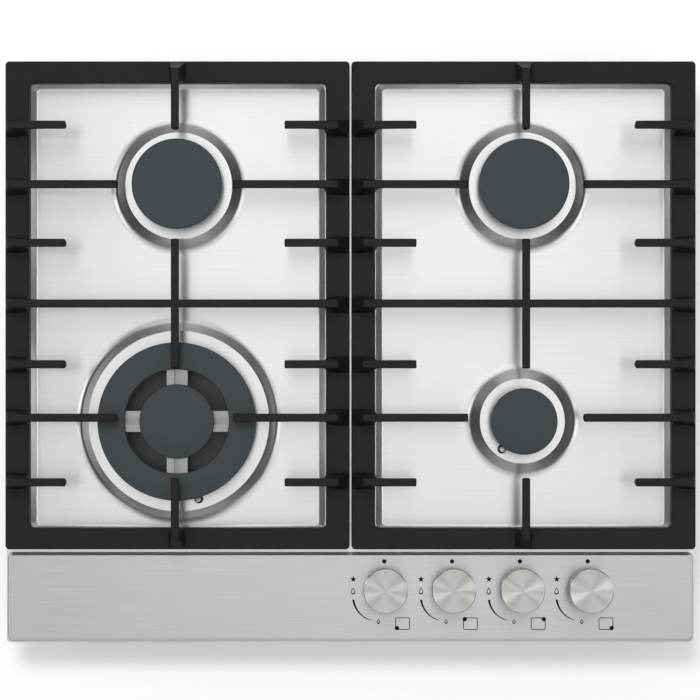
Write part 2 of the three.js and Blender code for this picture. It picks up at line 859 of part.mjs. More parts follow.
function railFrame(left, right) {
  const outer = { left, right, front: supportFront, back: supportBack };
  const inner = {
    left: left + sideRailWidth,
    right: right - sideRailWidth,
    front: supportFront + endRailWidth,
    back: supportBack - endRailWidth,
  };
  const block = bevelledBlock(outer, railCorner, railBottom, railTop, railBevel);
  const window = loft([
    ringLoop(inner, railCorner, railBottom - 1),
    ringLoop(inner, railCorner, railTop - railBevel),
    ringLoop(inner, railCorner, railTop, railBevel),
    ringLoop(inner, railCorner, railTop + 1, railBevel),
  ]);
  return block.subtract(window);
}

function panSupport(side) {
  const outerEdge = side * supportOuter;
  const innerEdge = side * supportInner;
  const middle = side * supportLine;
  const pieces = [railFrame(Math.min(outerEdge, innerEdge), Math.max(outerEdge, innerEdge))];
  const inward = side > 0 ? Math.PI : 0; // turn of a finger that leaves the outer rail
  const rows = [
    ...[-outerRow, -innerRow, innerRow, outerRow].map((step) => ({ y: crossbarY + step, tip: shortTip })),
    { y: frontBurnerY + frontRowShift, tip: longTip },
    { y: backBurnerY + backRowShift, tip: longTip },
  ];
  const half = supportOuter - supportLine;
  for (const { y, tip } of rows) {
    pieces.push(place(finger(sideRailWidth, outerSetback, half - tip), outerEdge, y, inward));
    pieces.push(place(finger(sideRailWidth, innerSetback, half - tip), innerEdge, y, inward + Math.PI));
  }
  const crossbar = fingerBar({ at: railBevel + outerSetback }, { at: 2 * half - railBevel - innerSetback });
  pieces.push(place(crossbar, outerEdge, crossbarY, inward));
  pieces.push(place(heel(sideRailWidth, outerSetback), outerEdge, crossbarY, inward));
  pieces.push(place(heel(sideRailWidth, innerSetback), innerEdge, crossbarY, inward + Math.PI));
  const backLength = supportBack - backBurnerY - backBarTip;
  const frontLength = frontBurnerY - frontBarTip - supportFront;
  pieces.push(place(finger(endRailWidth, innerSetback, backLength), middle, supportBack, -Math.PI / 2));
  pieces.push(place(finger(endRailWidth, innerSetback, frontLength), middle, supportFront, Math.PI / 2));
  const middleBar = fingerBar({ at: -middleBarReach, tip: true }, { at: middleBarReach, tip: true });
  pieces.push(place(middleBar, middle, crossbarY, Math.PI / 2));
  const pegTop = footBottom + footThickness + footPegHeight;
  const pegHoles = footPlaces(side).map(([x, y]) => (
    cylinder(footPegRadius + seatGap, railBottom - 1, pegTop + seatGap, smallSteps, x, y)
  ));
  return cutAway(join(pieces), pegHoles);
}

function rubberFoot() {
  const top = footBottom + footThickness;
  return revolve([
    [0, footBottom], [footRadius, footBottom], [footRadius, top], [footPegRadius, top],
    [footPegRadius, top + footPegHeight], [0, top + footPegHeight],
  ], postSides);
}

for (const [name, side] of [['left', -1], ['right', 1]]) {
  addPart(`pan_support_${name}`, panSupport(side), 'enamelledIron');
  footPlaces(side).forEach(([x, y], index) => {
    addPart(`support_foot_${name}_${index + 1}`, rubberFoot(), 'blackRubber', groupAt(x, y));
  });
}

// ---- Burners ----

// A post through the levels where the igniter passes a crown or a cup's flange
function igniterClearance({ igniter }) {
  return cylinder(igniterRadius + igniterNotch, plinthTop - 1, capBottom + 1, smallSteps, ...igniter);
}

function burnerCup(burner) {
  const { flange, body } = burner;
  const flangeTopLevel = cupFlangeBottom + cupFlange;
  const bowlFloor = flangeTopLevel - cupBowl;
  const casting = revolve([
    [0, jetHolderBottom],
    [jetHolderRadius, jetHolderBottom],
    [jetHolderRadius, cupBottom],
    [body - cupWall, cupBottom],
    [body, cupBottom + cupWall],
    [body, cupFlangeBottom],
    [flange, cupFlangeBottom],
    [flange, flangeTopLevel],
    [body - cupWall, flangeTopLevel],
    [body - cupWall, bowlFloor],
    [mixingTube, bowlFloor],
    [mixingTube, flangeTopLevel],
    [mixingBore, flangeTopLevel],
    [mixingBore, cupBottom + cupWall],
    [0, cupBottom + cupWall],
  ], turnedSteps);
  return casting.subtract(igniterClearance(burner));
}

// Radial slots through a crown's wall, open at the top, which the cap closes
function flamePorts(count, inner, outer) {
  const ports = [];
  for (let index = 0; index < count; index += 1) {
    const slot = box(
      [inner, -portWidth / 2, crownTop - portDepth],
      [outer, portWidth / 2, crownTop + 1],
    );
    ports.push(place(slot, 0, 0, (index + 0.5) * 2 * Math.PI / count));
  }
  return ports;
}

const neck = (floor) => [
  [neckBore, crownBottom - neckLength],
  [mixingBore - slideGap, crownBottom - neckLength],
  [mixingBore - slideGap, crownBottom],
  [0, floor],
];

function flameCrown(burner) {
  const { crown, ports } = burner;
  const floor = crownBottom + crownFloor;
  const [bottomIn, bottomOut, root] = neck(floor);
  const casting = revolve([
    bottomIn,
    bottomOut,
    root,
    [crown - crownTaper, crownBottom],
    [crown, floor],
    [crown, crownTop],
    [crown - crownWall, crownTop],
    [crown - crownWall, floor],
    [neckBore, floor],
    bottomIn,
  ], castingSteps);
  const slots = flamePorts(ports, crown - crownWall - weld, crown + weld);
  return cutAway(casting, [...slots, igniterClearance(burner)]);
}

// How high a dome stands at a share of its radius
const domeAt = (share, dome) => dome * (1 - share * share);

function burnerCap({ cap, crown, steps }) {
  const rim = crown - crownWall - capRimGap;
  return revolve([
    [0, capBottom + capRim / 2],
    [rim - capRimWall, capBottom - capRim],
    [rim, capBottom - capRim],
    [rim, capBottom],
    [cap - capEdge, capBottom],
    [cap, capBottom + capEdge],
    [cap, capTop - capEdge],
    [cap - capEdge, capTop],
    [cap * capDomeStop, capTop + domeAt(capDomeStop, capDome)],
    [0, capTop + capDome],
  ], steps);
}

// The wok crown: a ring and a hub with a port wall each, tied by four slotted bridges
function wokCrown(burner) {
  const { crown, steps, ports } = burner;
  const floor = crownBottom + crownFloor;
  const hub = wokCentreCap - capOverhang;
  const inner = wokRingInner + seatGap;
  const [bottomIn, bottomOut, root] = neck(floor);
  const ring = revolve([
    [inner, crownBottom],
    [crown - crownTaper, crownBottom],
    [crown, floor],
    [crown, crownTop],
    [crown - crownWall, crownTop],
    [crown - crownWall, floor],
    [inner + wokRingWall, floor],
    [inner + wokRingWall, crownTop],
    [inner, crownTop],
    [inner, crownBottom],
  ], steps);
  const centre = revolve([
    bottomIn,
    bottomOut,
    root,
    [hub - crownTaper, crownBottom],
    [hub, floor],
    [hub, crownTop],
    [hub - crownWall, crownTop],
    [hub - crownWall, floor],
    [neckBore, floor],
    bottomIn,
  ], castingSteps);
  const bridges = [];
  const channels = [];
  for (let quarter = 0; quarter < 4; quarter += 1) {
    const turn = quarter * Math.PI / 2;
    const bar = box([hub - weld, -bridgeWidth / 2, crownBottom], [inner + weld, bridgeWidth / 2, crownTop]);
    const slot = box(
      [hub - weld, -bridgeSlot / 2, crownTop - bridgeSlotDepth],
      [inner + weld, bridgeSlot / 2, crownTop + 1],
    );
    bridges.push(place(bar, 0, 0, turn));
    channels.push(place(slot, 0, 0, turn));
  }
  const outerPorts = flamePorts(ports, crown - crownWall - weld, crown + weld);
  const innerPorts = flamePorts(ports / 4, hub - crownWall - weld, hub + weld);
  return cutAway(join([ring, centre, ...bridges]), [...channels, ...outerPorts, ...innerPorts]);
}

function wokRingCap({ cap, crown, steps }) {
  const rimOuter = crown - crownWall - capRimGap;
  const rimInner = wokRingInner + seatGap + wokRingWall + capRimGap;
  return revolve([
    [wokRingInner, capBottom],
    [rimInner, capBottom],
    [rimInner, capBottom - capRim],
    [rimOuter, capBottom - capRim],
    [rimOuter, capBottom],
    [cap - capEdge, capBottom],
    [cap, capBottom + capEdge],
    [cap, capTop - capEdge],
    [cap - capEdge, capTop],
    [wokRingInner + capEdge, capTop],
    [wokRingInner, capTop - capEdge],
    [wokRingInner, capBottom],
  ], steps);
}

function wokCap() {
  const rim = wokCentreCap - capOverhang - crownWall - capRimGap;
  return revolve([
    [0, capBottom + capRim / 2],
    [rim - capRimWall, capBottom - capRim],
    [rim, capBottom - capRim],
    [rim, capBottom],
    [wokCentreCap - capEdge, capBottom],
    [wokCentreCap, capBottom + capEdge],
    [wokCentreCap, capTop - capEdge],
    [wokCentreCap - capEdge, capTop],
    [wokCentreCap * wokDomeStop, capTop + domeAt(wokDomeStop, wokCentreDome)],
    [0, capTop + wokCentreDome],
  ], mediumSteps);
}

// A ceramic post with a metal tip, held by its collar under the plinth
function igniterPost({ igniterTop }) {
  const collarTop = plinthTop - sheet - seatGap;
  const collarBottom = collarTop - collarHeight;
  const foot = collarBottom - igniterFoot;
  const shoulder = igniterTop - igniterTipHeight;
  return revolve([
    [0, leadLevel + leadRadius + seatGap],
    [igniterTip, leadLevel + leadRadius + seatGap],
    [igniterTip, foot],
    [igniterRadius, collarBottom],
    [igniterCollar, collarBottom],
    [igniterCollar, collarTop],
    [igniterRadius, collarTop],
    [igniterRadius, shoulder - igniterNotch],
    [igniterTip, shoulder],
    [igniterTip, igniterTop],
    [0, igniterTop],
  ], postSides);
}

for (const burner of burners) {
  const spot = groupAt(burner.x, burner.y);
  const isWok = burner.name === 'wok';
  addPart(`burner_cup_${burner.name}`, burnerCup(burner), 'castAluminium', spot);
  addPart(`flame_crown_${burner.name}`, isWok ? wokCrown(burner) : flameCrown(burner), 'castAluminium', spot);
  addPart(`burner_cap_${burner.name}`, isWok ? wokCap() : burnerCap(burner), 'capEnamel', spot);
  if (isWok) addPart('wok_ring_cap', wokRingCap(burner), 'capEnamel', spot);
  const igniter = addPart(`igniter_${burner.name}`, igniterPost(burner), 'whiteCeramic', spot);
  igniter.position.set(...burner.igniter, 0);
}

// ---- Knobs, spindles and gas taps ----

// A flat-sided shaft: a round bar with one flat towards the back
function flattedBar(radius, flat, bottom, top) {
  const bar = cylinder(radius, bottom, top, smallSteps);
  return bar.subtract(box([-2 * radius, radius - flat, bottom - 1], [2 * radius, 2 * radius, top + 1]));
}

function controlKnob() {
  const wallRadius = knobRadius - knobUndercut - knobWall;
  const faceUnderside = knobTop - knobFace;
  const hubBottom = knobBottom - hubDrop;
  const turned = revolve([
    [0, hubBottom],
    [hubRadius, hubBottom],
    [hubRadius, faceUnderside],
    [wallRadius, faceUnderside],
    [wallRadius, knobBottom],
    [knobRadius - knobUndercut, knobBottom],
    [knobRadius, knobTop - 3 * knobRim],
    [knobRadius, knobTop - knobRim],
    [knobRadius - knobRim, knobTop],
    [0, knobTop],
  ], castingSteps);
  const bore = flattedBar(spindleRadius + seatGap, spindleFlat, hubBottom - 1, faceUnderside);
  return turned.subtract(bore);
}

function tapBody() {
  const cavityFoot = plugFootRadius + seatGap;
  const cavityTop = plugTopRadius + seatGap;
  const barrel = cylinder(tapRadius, tapBottom, tapTop, turnedSteps);
  const outlet = solidOf(new THREE.CylinderGeometry(outletRadius, outletRadius, outletReach, smallSteps)
    .translate(0, outletReach / 2, outletLevel));
  const cavity = revolve([
    [0, plugBottom - seatGap],
    [cavityFoot, plugBottom - seatGap],
    [cavityTop, plugTop],
    [cavityTop, tapTop + 1],
    [0, tapTop + 1],
  ], castingSteps);
  return barrel.add(outlet).subtract(cavity);
}

function tapPlug() {
  const cone = revolve([
    [0, plugBottom], [plugFootRadius, plugBottom], [plugTopRadius, plugTop], [0, plugTop],
  ], castingSteps);
  const socketBottom = spindleBottom - pushTravel - slideGap;
  return cone.subtract(flattedBar(spindleRadius + seatGap, spindleFlat, socketBottom, plugTop + 1));
}

knobXs.forEach((x, index) => {
  const spot = groupAt(x, knobY);
  const number = index + 1;
  addPart(`control_knob_${number}`, controlKnob(), 'spunAluminium', spot);
  const spindle = flattedBar(spindleRadius, spindleFlat, spindleBottom, spindleTop);
  addPart(`tap_spindle_${number}`, spindle, 'brass', spot);
  addPart(`gas_tap_${number}`, tapBody(), 'castAluminium', spot);
  addPart(`tap_plug_${number}`, tapPlug(), 'brass', spot);
});

// ---- Gas manifold, inlet and tubes ----

function gasManifold() {
  const inletEnd = inletY - inletBlock / 2 - seatGap;
  const climbStart = pocketFront - manifoldClimb;
  const run = pipe([
    [knobXs[0] - tapRadius, knobY, manifoldHeight],
    [inletX, knobY, manifoldHeight],
    [inletX, climbStart, manifoldHeight],
    [inletX, pocketFront - 2 * manifoldRadius, inletPipeLevel],
    [inletX, inletEnd, inletPipeLevel],
  ], manifoldRadius, manifoldBend, smallSteps);
  const saddles = knobXs.map((x) => (
    cylinder(saddleRadius, traySheet + seatGap, saddleTop, smallSteps, x, knobY)
  ));
  return join([run, ...saddles]);
}

// The connection: a stub that points down in the tray's pocket, with its block above the pocket
function gasInlet() {
  const stubTop = pocketHeight - seatGap;
  const stub = revolve([
    [inletBore, inletClearance],
    [inletRadius, inletClearance],
    [inletRadius, stubTop - inletFlangeThickness],
    [inletFlange, stubTop - inletFlangeThickness],
    [inletFlange, stubTop],
    [inletNeck, stubTop],
    [inletNeck, inletBlockBottom + weld],
    [0, inletBlockBottom + weld],
    [0, stubTop - 1],
    [inletBore, stubTop - 1],
    [inletBore, inletClearance],
  ], turnedSteps);
  const block = box(
    [-inletBlock / 2, -inletBlock / 2, inletBlockBottom],
    [inletBlock / 2, inletBlock / 2, inletBlockBottom + 2 * manifoldRadius],
  );
  return stub.add(block);
}

// Where a tube meets the jet holder under a burner, coming from the front or from the middle
const jetStop = jetHolderRadius + seatGap;

function gasTubes() {
  const outletY = knobY + outletReach + seatGap;
  const bendY = outletY + tubeStraight;
  const slantY = bendY + tubeSlant;
  const [wok, backLeft, backRight, frontRight] = burners;
  const leave = (index) => [[knobXs[index], outletY, outletLevel], [knobXs[index], bendY, outletLevel]];
  const laneX = backRight.x - rightLane;
  return {
    gas_tube_wok: [
      ...leave(0),
      [knobXs[0] - wokTubeAside, bendY + wokTubeSlant, tubeHeight],
      [wok.x, wok.y - wok.body - wokTubeGap, tubeHeight],
      [wok.x, wok.y - jetStop, tubeHeight],
    ],
    gas_tube_back_left: [
      ...leave(1),
      [knobXs[1] - backTubeAside, slantY, tubeHeight],
      [ridgeLane, wok.y - laneGap, tubeHeight],
      [ridgeLane, backLeft.y - laneGap, tubeHeight],
      [(ridgeLane + backLeft.x) / 2, backLeft.y, tubeHeight],
      [backLeft.x + jetStop, backLeft.y, tubeHeight],
    ],
    gas_tube_back_right: [
      ...leave(2),
      [laneX, slantY, tubeHeight],
      [laneX, backRight.y - laneGap - rightLane, tubeHeight],
      [backRight.x, backRight.y - laneGap, tubeHeight],
      [backRight.x, backRight.y - jetStop, tubeHeight],
    ],
    gas_tube_front_right: [
      ...leave(3),
      [knobXs[3] - frontTubeAside, slantY, tubeHeight],
      [frontRight.x, frontRight.y - laneGap, tubeHeight],
      [frontRight.x, frontRight.y - jetStop, tubeHeight],
    ],
  };
}

addPart('gas_manifold', gasManifold(), 'galvanisedSteel');
addPart('gas_inlet', gasInlet(), 'brass', groupAt(inletX, inletY));
for (const [name, route] of Object.entries(gasTubes())) {
  addPart(name, pipe(route, tubeRadius, tubeBend, postSides), 'castAluminium');
}

// ---- Ignition and supply ----

const moduleBottom = traySheet + seatGap;
const moduleTop = moduleBottom + moduleHeight;

function ignitionModule() {
  const shape = {
    left: -moduleWidth / 2, right: moduleWidth / 2, front: -moduleDepth / 2, back: moduleDepth / 2,
  };
  return bevelledBlock(shape, moduleCorner, moduleBottom, moduleTop, moduleBevel);
}

// The leads to the four igniters, to the switches and to the mains gland, as the corners of their routes
function leadRoutes(blockLeft, blockRight, blockLevel, switchLevel) {
  const [wok, backLeft, backRight, frontRight] = burners;
  const postOf = ({ x, y, igniter }) => [x + igniter[0], y + igniter[1], leadLevel];
  const toPost = (burner, turn) => {
    const [x, y, level] = postOf(burner);
    return [[x, y + turn, level], [x, y, level]];
  };
  const sideLead = (burner, plugX, turnX) => [
    [plugX, moduleY, blockLevel],
    [turnX, postOf(burner)[1] + leadTurn, leadLevel],
    ...toPost(burner, leadTurn),
  ];
  const leaveFront = (x) => [
    [x, moduleY - plugBlock + leadInPlug, blockLevel],
    [x, moduleY - 4 * plugBlock, leadLevel],
  ];
  const frontLead = (burner, x, fanX) => [
    ...leaveFront(x),
    [x, postOf(burner)[1] - leadTurn + leadFan, leadLevel],
    [fanX, postOf(burner)[1] - leadTurn, leadLevel],
    ...toPost(burner, -leadTurn),
  ];
  const switchLead = [
    ...leaveFront(frontLeads.switches),
    [frontLeads.switches, knobY + leadTurn, leadLevel],
    [(frontLeads.switches + knobXs[0] - switchRadius) / 2, knobY, switchLevel],
    [knobXs[0] - switchRadius + leadInPlug, knobY, switchLevel],
  ];
  const supplyLead = [
    [blockLeft + leadInPlug, moduleY + plugBlock - leadRadius, blockLevel],
    [supplyTurn[0], trayBack - supplyTurn[1], 2 * glandLevel],
    [glandX + leadTurn, trayBack - supplyRun, glandLevel],
    [glandX, trayBack - leadTurn, glandLevel],
    [glandX, trayBack - glandReach, glandLevel],
  ];
  return [
    sideLead(backLeft, blockLeft + leadInPlug, blockLeft - leadAside),
    sideLead(backRight, blockRight - leadInPlug, blockRight + leadAside),
    frontLead(wok, frontLeads.wok, frontLeads.wokFan),
    frontLead(frontRight, frontLeads.right, frontLeads.rightFan),
    switchLead,
    supplyLead,
  ];
}

function ignitionHarness() {
  const blockBottom = moduleTop + seatGap;
  const blockLeft = moduleX - moduleWidth / 2 + plugBlockInset;
  const blockRight = moduleX + moduleWidth / 2 - plugBlockInset;
  const block = box(
    [blockLeft, moduleY - plugBlock, blockBottom],
    [blockRight, moduleY + plugBlock, blockBottom + plugBlock],
  );
  const switchBottom = tapTop + seatGap;
  const switchLevel = switchBottom + switchHeight / 2;
  const routes = leadRoutes(blockLeft, blockRight, blockBottom + plugBlock / 2, switchLevel);
  const leads = routes.map((route) => pipe(route, leadRadius, leadBend, leadSides, 1));
  for (let index = 0; index + 1 < knobXs.length; index += 1) {
    leads.push(pipe([
      [knobXs[index] + switchRadius - leadInPlug, knobY, switchLevel],
      [knobXs[index + 1] - switchRadius + leadInPlug, knobY, switchLevel],
    ], leadRadius, leadBend, leadSides));
  }
  const switches = knobXs.map((x) => {
    const ring = cylinder(switchRadius, switchBottom, switchBottom + switchHeight, smallSteps, x, knobY);
    return ring.subtract(cylinder(spindleRadius + 1, tapTop, panelTop, smallSteps, x, knobY));
  });
  return join([block, ...leads, ...switches]);
}

// The entry of the supply lead: a gland that clamps the tray's back wall
function mainsGland() {
  const wallInside = trayBack - traySheet;
  const profile = [
    [glandBore, wallInside - glandReach + 1],
    [glandRadius, wallInside - glandReach + 1],
    [glandRadius, wallInside - seatGap],
    [glandNeck, wallInside - seatGap],
    [glandNeck, trayBack + seatGap],
    [glandRadius, trayBack + seatGap],
    [glandRadius, trayBack + glandReach / 2],
    [glandNeck, trayBack + glandReach],
    [glandBore, trayBack + glandReach],
    [glandBore, wallInside - glandReach + 1],
  ];
  return solidOf(geometryOf(revolve(profile, smallSteps)).rotateX(-Math.PI / 2));
}

addPart('ignition_module', ignitionModule(), 'blackPlastic', groupAt(moduleX, moduleY));
addPart('ignition_harness', ignitionHarness(), 'leadRubber');
const gland = addPart('mains_gland', mainsGland(), 'blackPlastic', groupAt(glandX, 0));
gland.position.z = glandLevel;

export default cooktop;
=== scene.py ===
"""A 60 cm built-in gas cooktop with four burners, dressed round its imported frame.

Sizes are in millimetres and MM turns them into metres. The back of the cooktop is towards +Y and
its control panel towards -Y. Places come from the frame's nodes wherever a node gives them.
"""
import math

import bmesh
import bpy
from mathutils import Matrix, Vector
from mathutils.geometry import tessellate_polygon


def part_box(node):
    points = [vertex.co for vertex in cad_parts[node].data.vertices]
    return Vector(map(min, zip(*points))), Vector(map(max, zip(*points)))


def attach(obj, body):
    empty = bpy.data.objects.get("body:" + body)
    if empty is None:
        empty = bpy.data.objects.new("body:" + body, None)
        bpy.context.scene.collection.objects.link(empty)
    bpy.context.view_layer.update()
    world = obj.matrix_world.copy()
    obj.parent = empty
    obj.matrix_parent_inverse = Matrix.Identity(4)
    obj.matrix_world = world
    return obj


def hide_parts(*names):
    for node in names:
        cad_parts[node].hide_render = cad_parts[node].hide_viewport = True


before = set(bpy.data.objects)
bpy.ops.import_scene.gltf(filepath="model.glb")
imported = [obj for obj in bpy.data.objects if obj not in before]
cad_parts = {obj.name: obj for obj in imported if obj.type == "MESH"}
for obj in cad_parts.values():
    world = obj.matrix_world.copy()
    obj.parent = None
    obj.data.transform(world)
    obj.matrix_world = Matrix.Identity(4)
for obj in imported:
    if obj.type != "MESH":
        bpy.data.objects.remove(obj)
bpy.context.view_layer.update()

MM = 0.001

# ---- Sizes of the pressed top, in millimetres ----

SHEET = 1.0
PLATE_CORNER = 3.0
PLATE_EDGE = 0.6
HEM_BEND = 1.2
HEM_WIDTH = 8.0
PANEL_RISE = 4.0
PANEL_DEPTH = 78.7
PANEL_INSET = 1.2
PANEL_WALL = 2.3
PANEL_EDGE = 1.0
PANEL_CORNER = 5.0
PANEL_FOOT_FILLET = 0.4
PANEL_FOOT_FLAT = 0.35  # the flats beside each step carry its rounded ends
PANEL_TOP_FLAT = 2.0
RIDGE_WIDTH = 44.0
SIDE_FLANGE = 19.4
BACK_FLANGE = 16.4
FRONT_FLANGE = 17.0
WELL_DEPTH = 7.0
WELL_RUN = 5.5
WELL_CORNER = 9.5
WELL_EDGE = 1.6
WELL_FILLET = 2.4
WELL_TOP_FLAT = 1.2
WELL_FLOOR_FLAT = 1.3
PLINTH_RISE = 8.0
PLINTH_TOE = 10.0
PLINTH_STEEPER = 1.16  # the slope against a straight one between the two radii below
PLINTH_EDGE = 0.9
PLINTH_FOOT_FLAT = 0.3
PLINTH_TOP_FLAT = 2.0
SPINDLE_HOLE = 7.3
IGNITER_HOLE = 4.0
HOLE_GAP = 0.5

# Foot and top radius of each burner's plinth, and the radius of the burner body that its hole clears
PLINTHS = {
    "wok": (89.1, 78.8, 58.9),
    "back_left": (58.6, 46.6, 29.5),
    "back_right": (58.6, 46.6, 29.5),
    "front_right": (49.7, 37.0, 19.3),
}

# ---- Sizes of the cast pan supports ----

SIDE_RAIL = 20.6
END_RAIL = 18.5
RAIL_HEIGHT = 9.0
RAIL_CORNER = 3.5
RAIL_EDGE = 1.4
RAIL_FOOT_EDGE = 0.6
CORNER_SHARE = 0.8  # how much of an edge's inset its corner radius follows
BAR_TOP = 3.5
BAR_FOOT = 2.0
BAR_EDGE = 1.2
BAR_DEPTH = 12.0
TIP_DEPTH = 8.0
TIP_EDGE = 2.0
TIP_UNDER_EDGE = 1.4
BELLY_ROUND = 3.0
BELLY_BEND = 40.0
HEEL_HALF = 7.5
HEEL_REACH = 2.3
HEEL_SINK = 0.8
HEEL_START = 0.5
HEEL_BACK = 0.9
HEEL_TOE = 1.5
HEEL_FADE = (-3.0, 1.0)  # the width fades out from before the rail's edge to past the heel's reach
HEEL_CURVE = 2.6
OUTER_SETBACK = 4.5
INNER_SETBACK = 9.0
HEEL_CREST = 2.6
CROSSBAR_SHIFT = 1.5
INNER_ROW = 51.8
OUTER_ROW = 152.6
BACK_ROW_SHIFT = -2.2
FRONT_ROW_SHIFT = 3.6
SHORT_TIP = 93.5
LONG_TIP = 49.4
MIDDLE_BAR_REACH = 55.5
BACK_BAR_TIP = 45.0
FRONT_BAR_TIP = 48.0
BAR_SIDE_LEVELS = (0, 0.08, 0.18, 0.34, 0.6)  # shares of a bar's height, closer where the heel flares
STATION_INSET = 0.02
STATION_GAP = 0.18
FOOT_PEG = 2.0
FOOT_PAD = 1.2

# ---- Sizes of the burners, igniters and knobs ----

CAP_THICKNESS = 4.7
CAP_EDGE = 1.1
CAP_DOME = 0.8
WOK_CENTRE_DOME = 2.2
CAP_OVERHANG = 3.0
CAP_LIP = 1.8
CAP_LIP_WIDTH = 3.0
CAP_LIP_GAP = 0.9
CAP_RECESS = 1.0
RING_INNER = 45.0
RING_LIP_START = 51.7
RING_LIP_END = 59.3
CROWN_TAPER = 2.0
CROWN_WALL = 5.0
CROWN_FLOOR = 2.4
CROWN_BORE = 3.2
CROWN_NECK = 5.0
CROWN_NECK_LENGTH = 8.0
WOK_RING_STEP = 0.3  # the wok crown's ring starts this far outside its cap's hole
WOK_RING_WALL = 5.5
WOK_OUTER_PORTS = 44
WOK_INNER_PORTS = 16
PORT_WIDTH = 1.6
PORT_DEPTH = 5.0
PORT_PITCH = 7.5
BRIDGE_WIDTH = 18.0
BRIDGE_SLOT = 5.0
BRIDGE_SLOT_DEPTH = 3.0
IGNITER_RADIUS = 3.5
IGNITER_POST = 2.1
IGNITER_TIP = 1.0
IGNITER_TIP_LENGTH = 2.2
IGNITER_SEAT = 0.3
IGNITER_CLIP = 4.5
IGNITER_CLIP_THICKNESS = 1.5
IGNITER_BODY_LENGTH = 7.5
IGNITER_CLEARANCE = 0.6
KNOB_RADIUS = 19.0
KNOB_EDGE = 0.9
KNOB_WALL = 2.2
KNOB_UNDERCUT = 1.2
KNOB_HUB = 6.5
KNOB_SKIRT = 2.0
KNOB_FACE = 3.2
KNOB_FLARE = 6.0
KNOB_FLARE_ROUND = 8.0
KNOB_RIM = 2.0
KNOB_FACE_DROP = 0.25
KNOB_DIMPLE = 1.0
KNOB_DIMPLE_REACH = 15.8

BURNERS = ("wok", "back_left", "back_right", "front_right")
KNOBS = (1, 2, 3, 4)


# ---- Meshes ----

class Shape:
    """Points in millimetres and the faces between them, each with the number of its finish."""

    def __init__(self):
        self.points = []
        self.faces = []
        self.finishes = []

    def loop(self, places):
        start = len(self.points)
        self.points.extend(tuple(place) for place in places)
        return list(range(start, len(self.points)))

    def face(self, corners, finish=0):
        self.faces.append(tuple(corners))
        self.finishes.append(finish)

    def band(self, first, second, finish=0):
        count = len(first)
        for index in range(count):
            after = (index + 1) % count
            self.face((first[index], first[after], second[after], second[index]), finish)

    def skin(self, loops, finish=0, closed=False):
        for first, second in zip(loops, loops[1:]):
            self.band(first, second, finish)
        if closed:
            self.band(loops[-1], loops[0], finish)

    def fill(self, loops, finish=0):
        """Flat faces inside the first loop and outside the others."""
        order = [index for loop in loops for index in loop]
        outlines = [[Vector(self.points[index]) for index in loop] for loop in loops]
        for triangle in tessellate_polygon(outlines):
            self.face([order[index] for index in triangle], finish)


def rounded(corners, closed=False, steps=5):
    """A line through (across, level, radius) corners, each one rounded by its radius."""
    line = []
    last = len(corners) - 1
    for index, (across, level, radius) in enumerate(corners):
        if radius == 0 or (not closed and index in (0, last)):
            line.append((across, level))
            continue
        here = Vector((across, level))
        before = (Vector(corners[index - 1][:2]) - here).normalized()
        after = (Vector(corners[(index + 1) % len(corners)][:2]) - here).normalized()
        half = before.angle(after) / 2
        reach = radius / math.tan(half)
        middle = here + (before + after).normalized() * (radius / math.sin(half))
        start = here + before * reach - middle
        end = here + after * reach - middle
        sweep = start.angle_signed(end)
        for step in range(steps + 1):
            turn = Matrix.Rotation(-sweep * step / steps, 2)
            line.append(tuple(middle + turn @ start))
    return line


def rectangle_loop(left, right, front, back, radii, level, steps=6):
    """A level loop round a rectangle whose corners are rounded, the back right one first."""
    if isinstance(radii, float):
        radii = (radii,) * 4
    corners = ((right, back, -1, -1), (left, back, 1, -1), (left, front, 1, 1), (right, front, -1, 1))
    places = []
    for quarter, ((x, y, inward_x, inward_y), radius) in enumerate(zip(corners, radii)):
        radius = max(radius, 0.15)
        for step in range(steps + 1):
            angle = (quarter + step / steps) * math.pi / 2
            places.append((
                x + inward_x * radius + radius * math.cos(angle),
                y + inward_y * radius + radius * math.sin(angle),
                level,
            ))
    return places


def circle(radius, level, centre=(0, 0), steps=96):
    return [(
        centre[0] + radius * math.cos(2 * math.pi * step / steps),
        centre[1] + radius * math.sin(2 * math.pi * step / steps),
        level,
    ) for step in range(steps)]


def turned(shape, profile, centre=(0, 0), steps=96, finish=0, closed=False):
    """A profile of (radius, level) turned about the upright line through centre."""
    loops = [shape.loop(circle(radius, level, centre, steps)) for radius, level in profile]
    shape.skin(loops, finish, closed)


def block(shape, low, high, place):
    corners = [
        place @ Vector((x, y, z))
        for z in (low[2], high[2]) for x, y in (
            (low[0], low[1]), (high[0], low[1]), (high[0], high[1]), (low[0], high[1]))
    ]
    bottom = shape.loop(corners[:4])
    top = shape.loop(corners[4:])
    shape.face(bottom)
    shape.face(top)
    shape.band(bottom, top)


def mesh_of(name, shape, finishes=()):
    """The shape as a Blender mesh, its doubled points merged and its faces turned outwards."""
    mesh = bpy.data.meshes.new(name)
    mesh.from_pydata([Vector(point) * MM for point in shape.points], [], shape.faces)
    mesh.polygons.foreach_set("material_index", shape.finishes)
    for finish in finishes:
        mesh.materials.append(finish)
    work = bmesh.new()
    work.from_mesh(mesh)
    bmesh.ops.remove_doubles(work, verts=work.verts, dist=2e-6)
    bmesh.ops.dissolve_degenerate(work, edges=work.edges, dist=1e-6)
    bmesh.ops.recalc_face_normals(work, faces=work.faces)
    work.to_mesh(mesh)
    work.free()
    return mesh


def shade(mesh, sharp_degrees=38):
    """Smooth faces with an edge kept wherever the surface turns sharply."""
    work = bmesh.new()
    work.from_mesh(mesh)
    limit = math.radians(sharp_degrees)
    for face in work.faces:
        face.smooth = True
    for edge in work.edges:
        edge.smooth = len(edge.link_faces) == 2 and edge.calc_face_angle(0) < limit
    work.to_mesh(mesh)
    work.free()


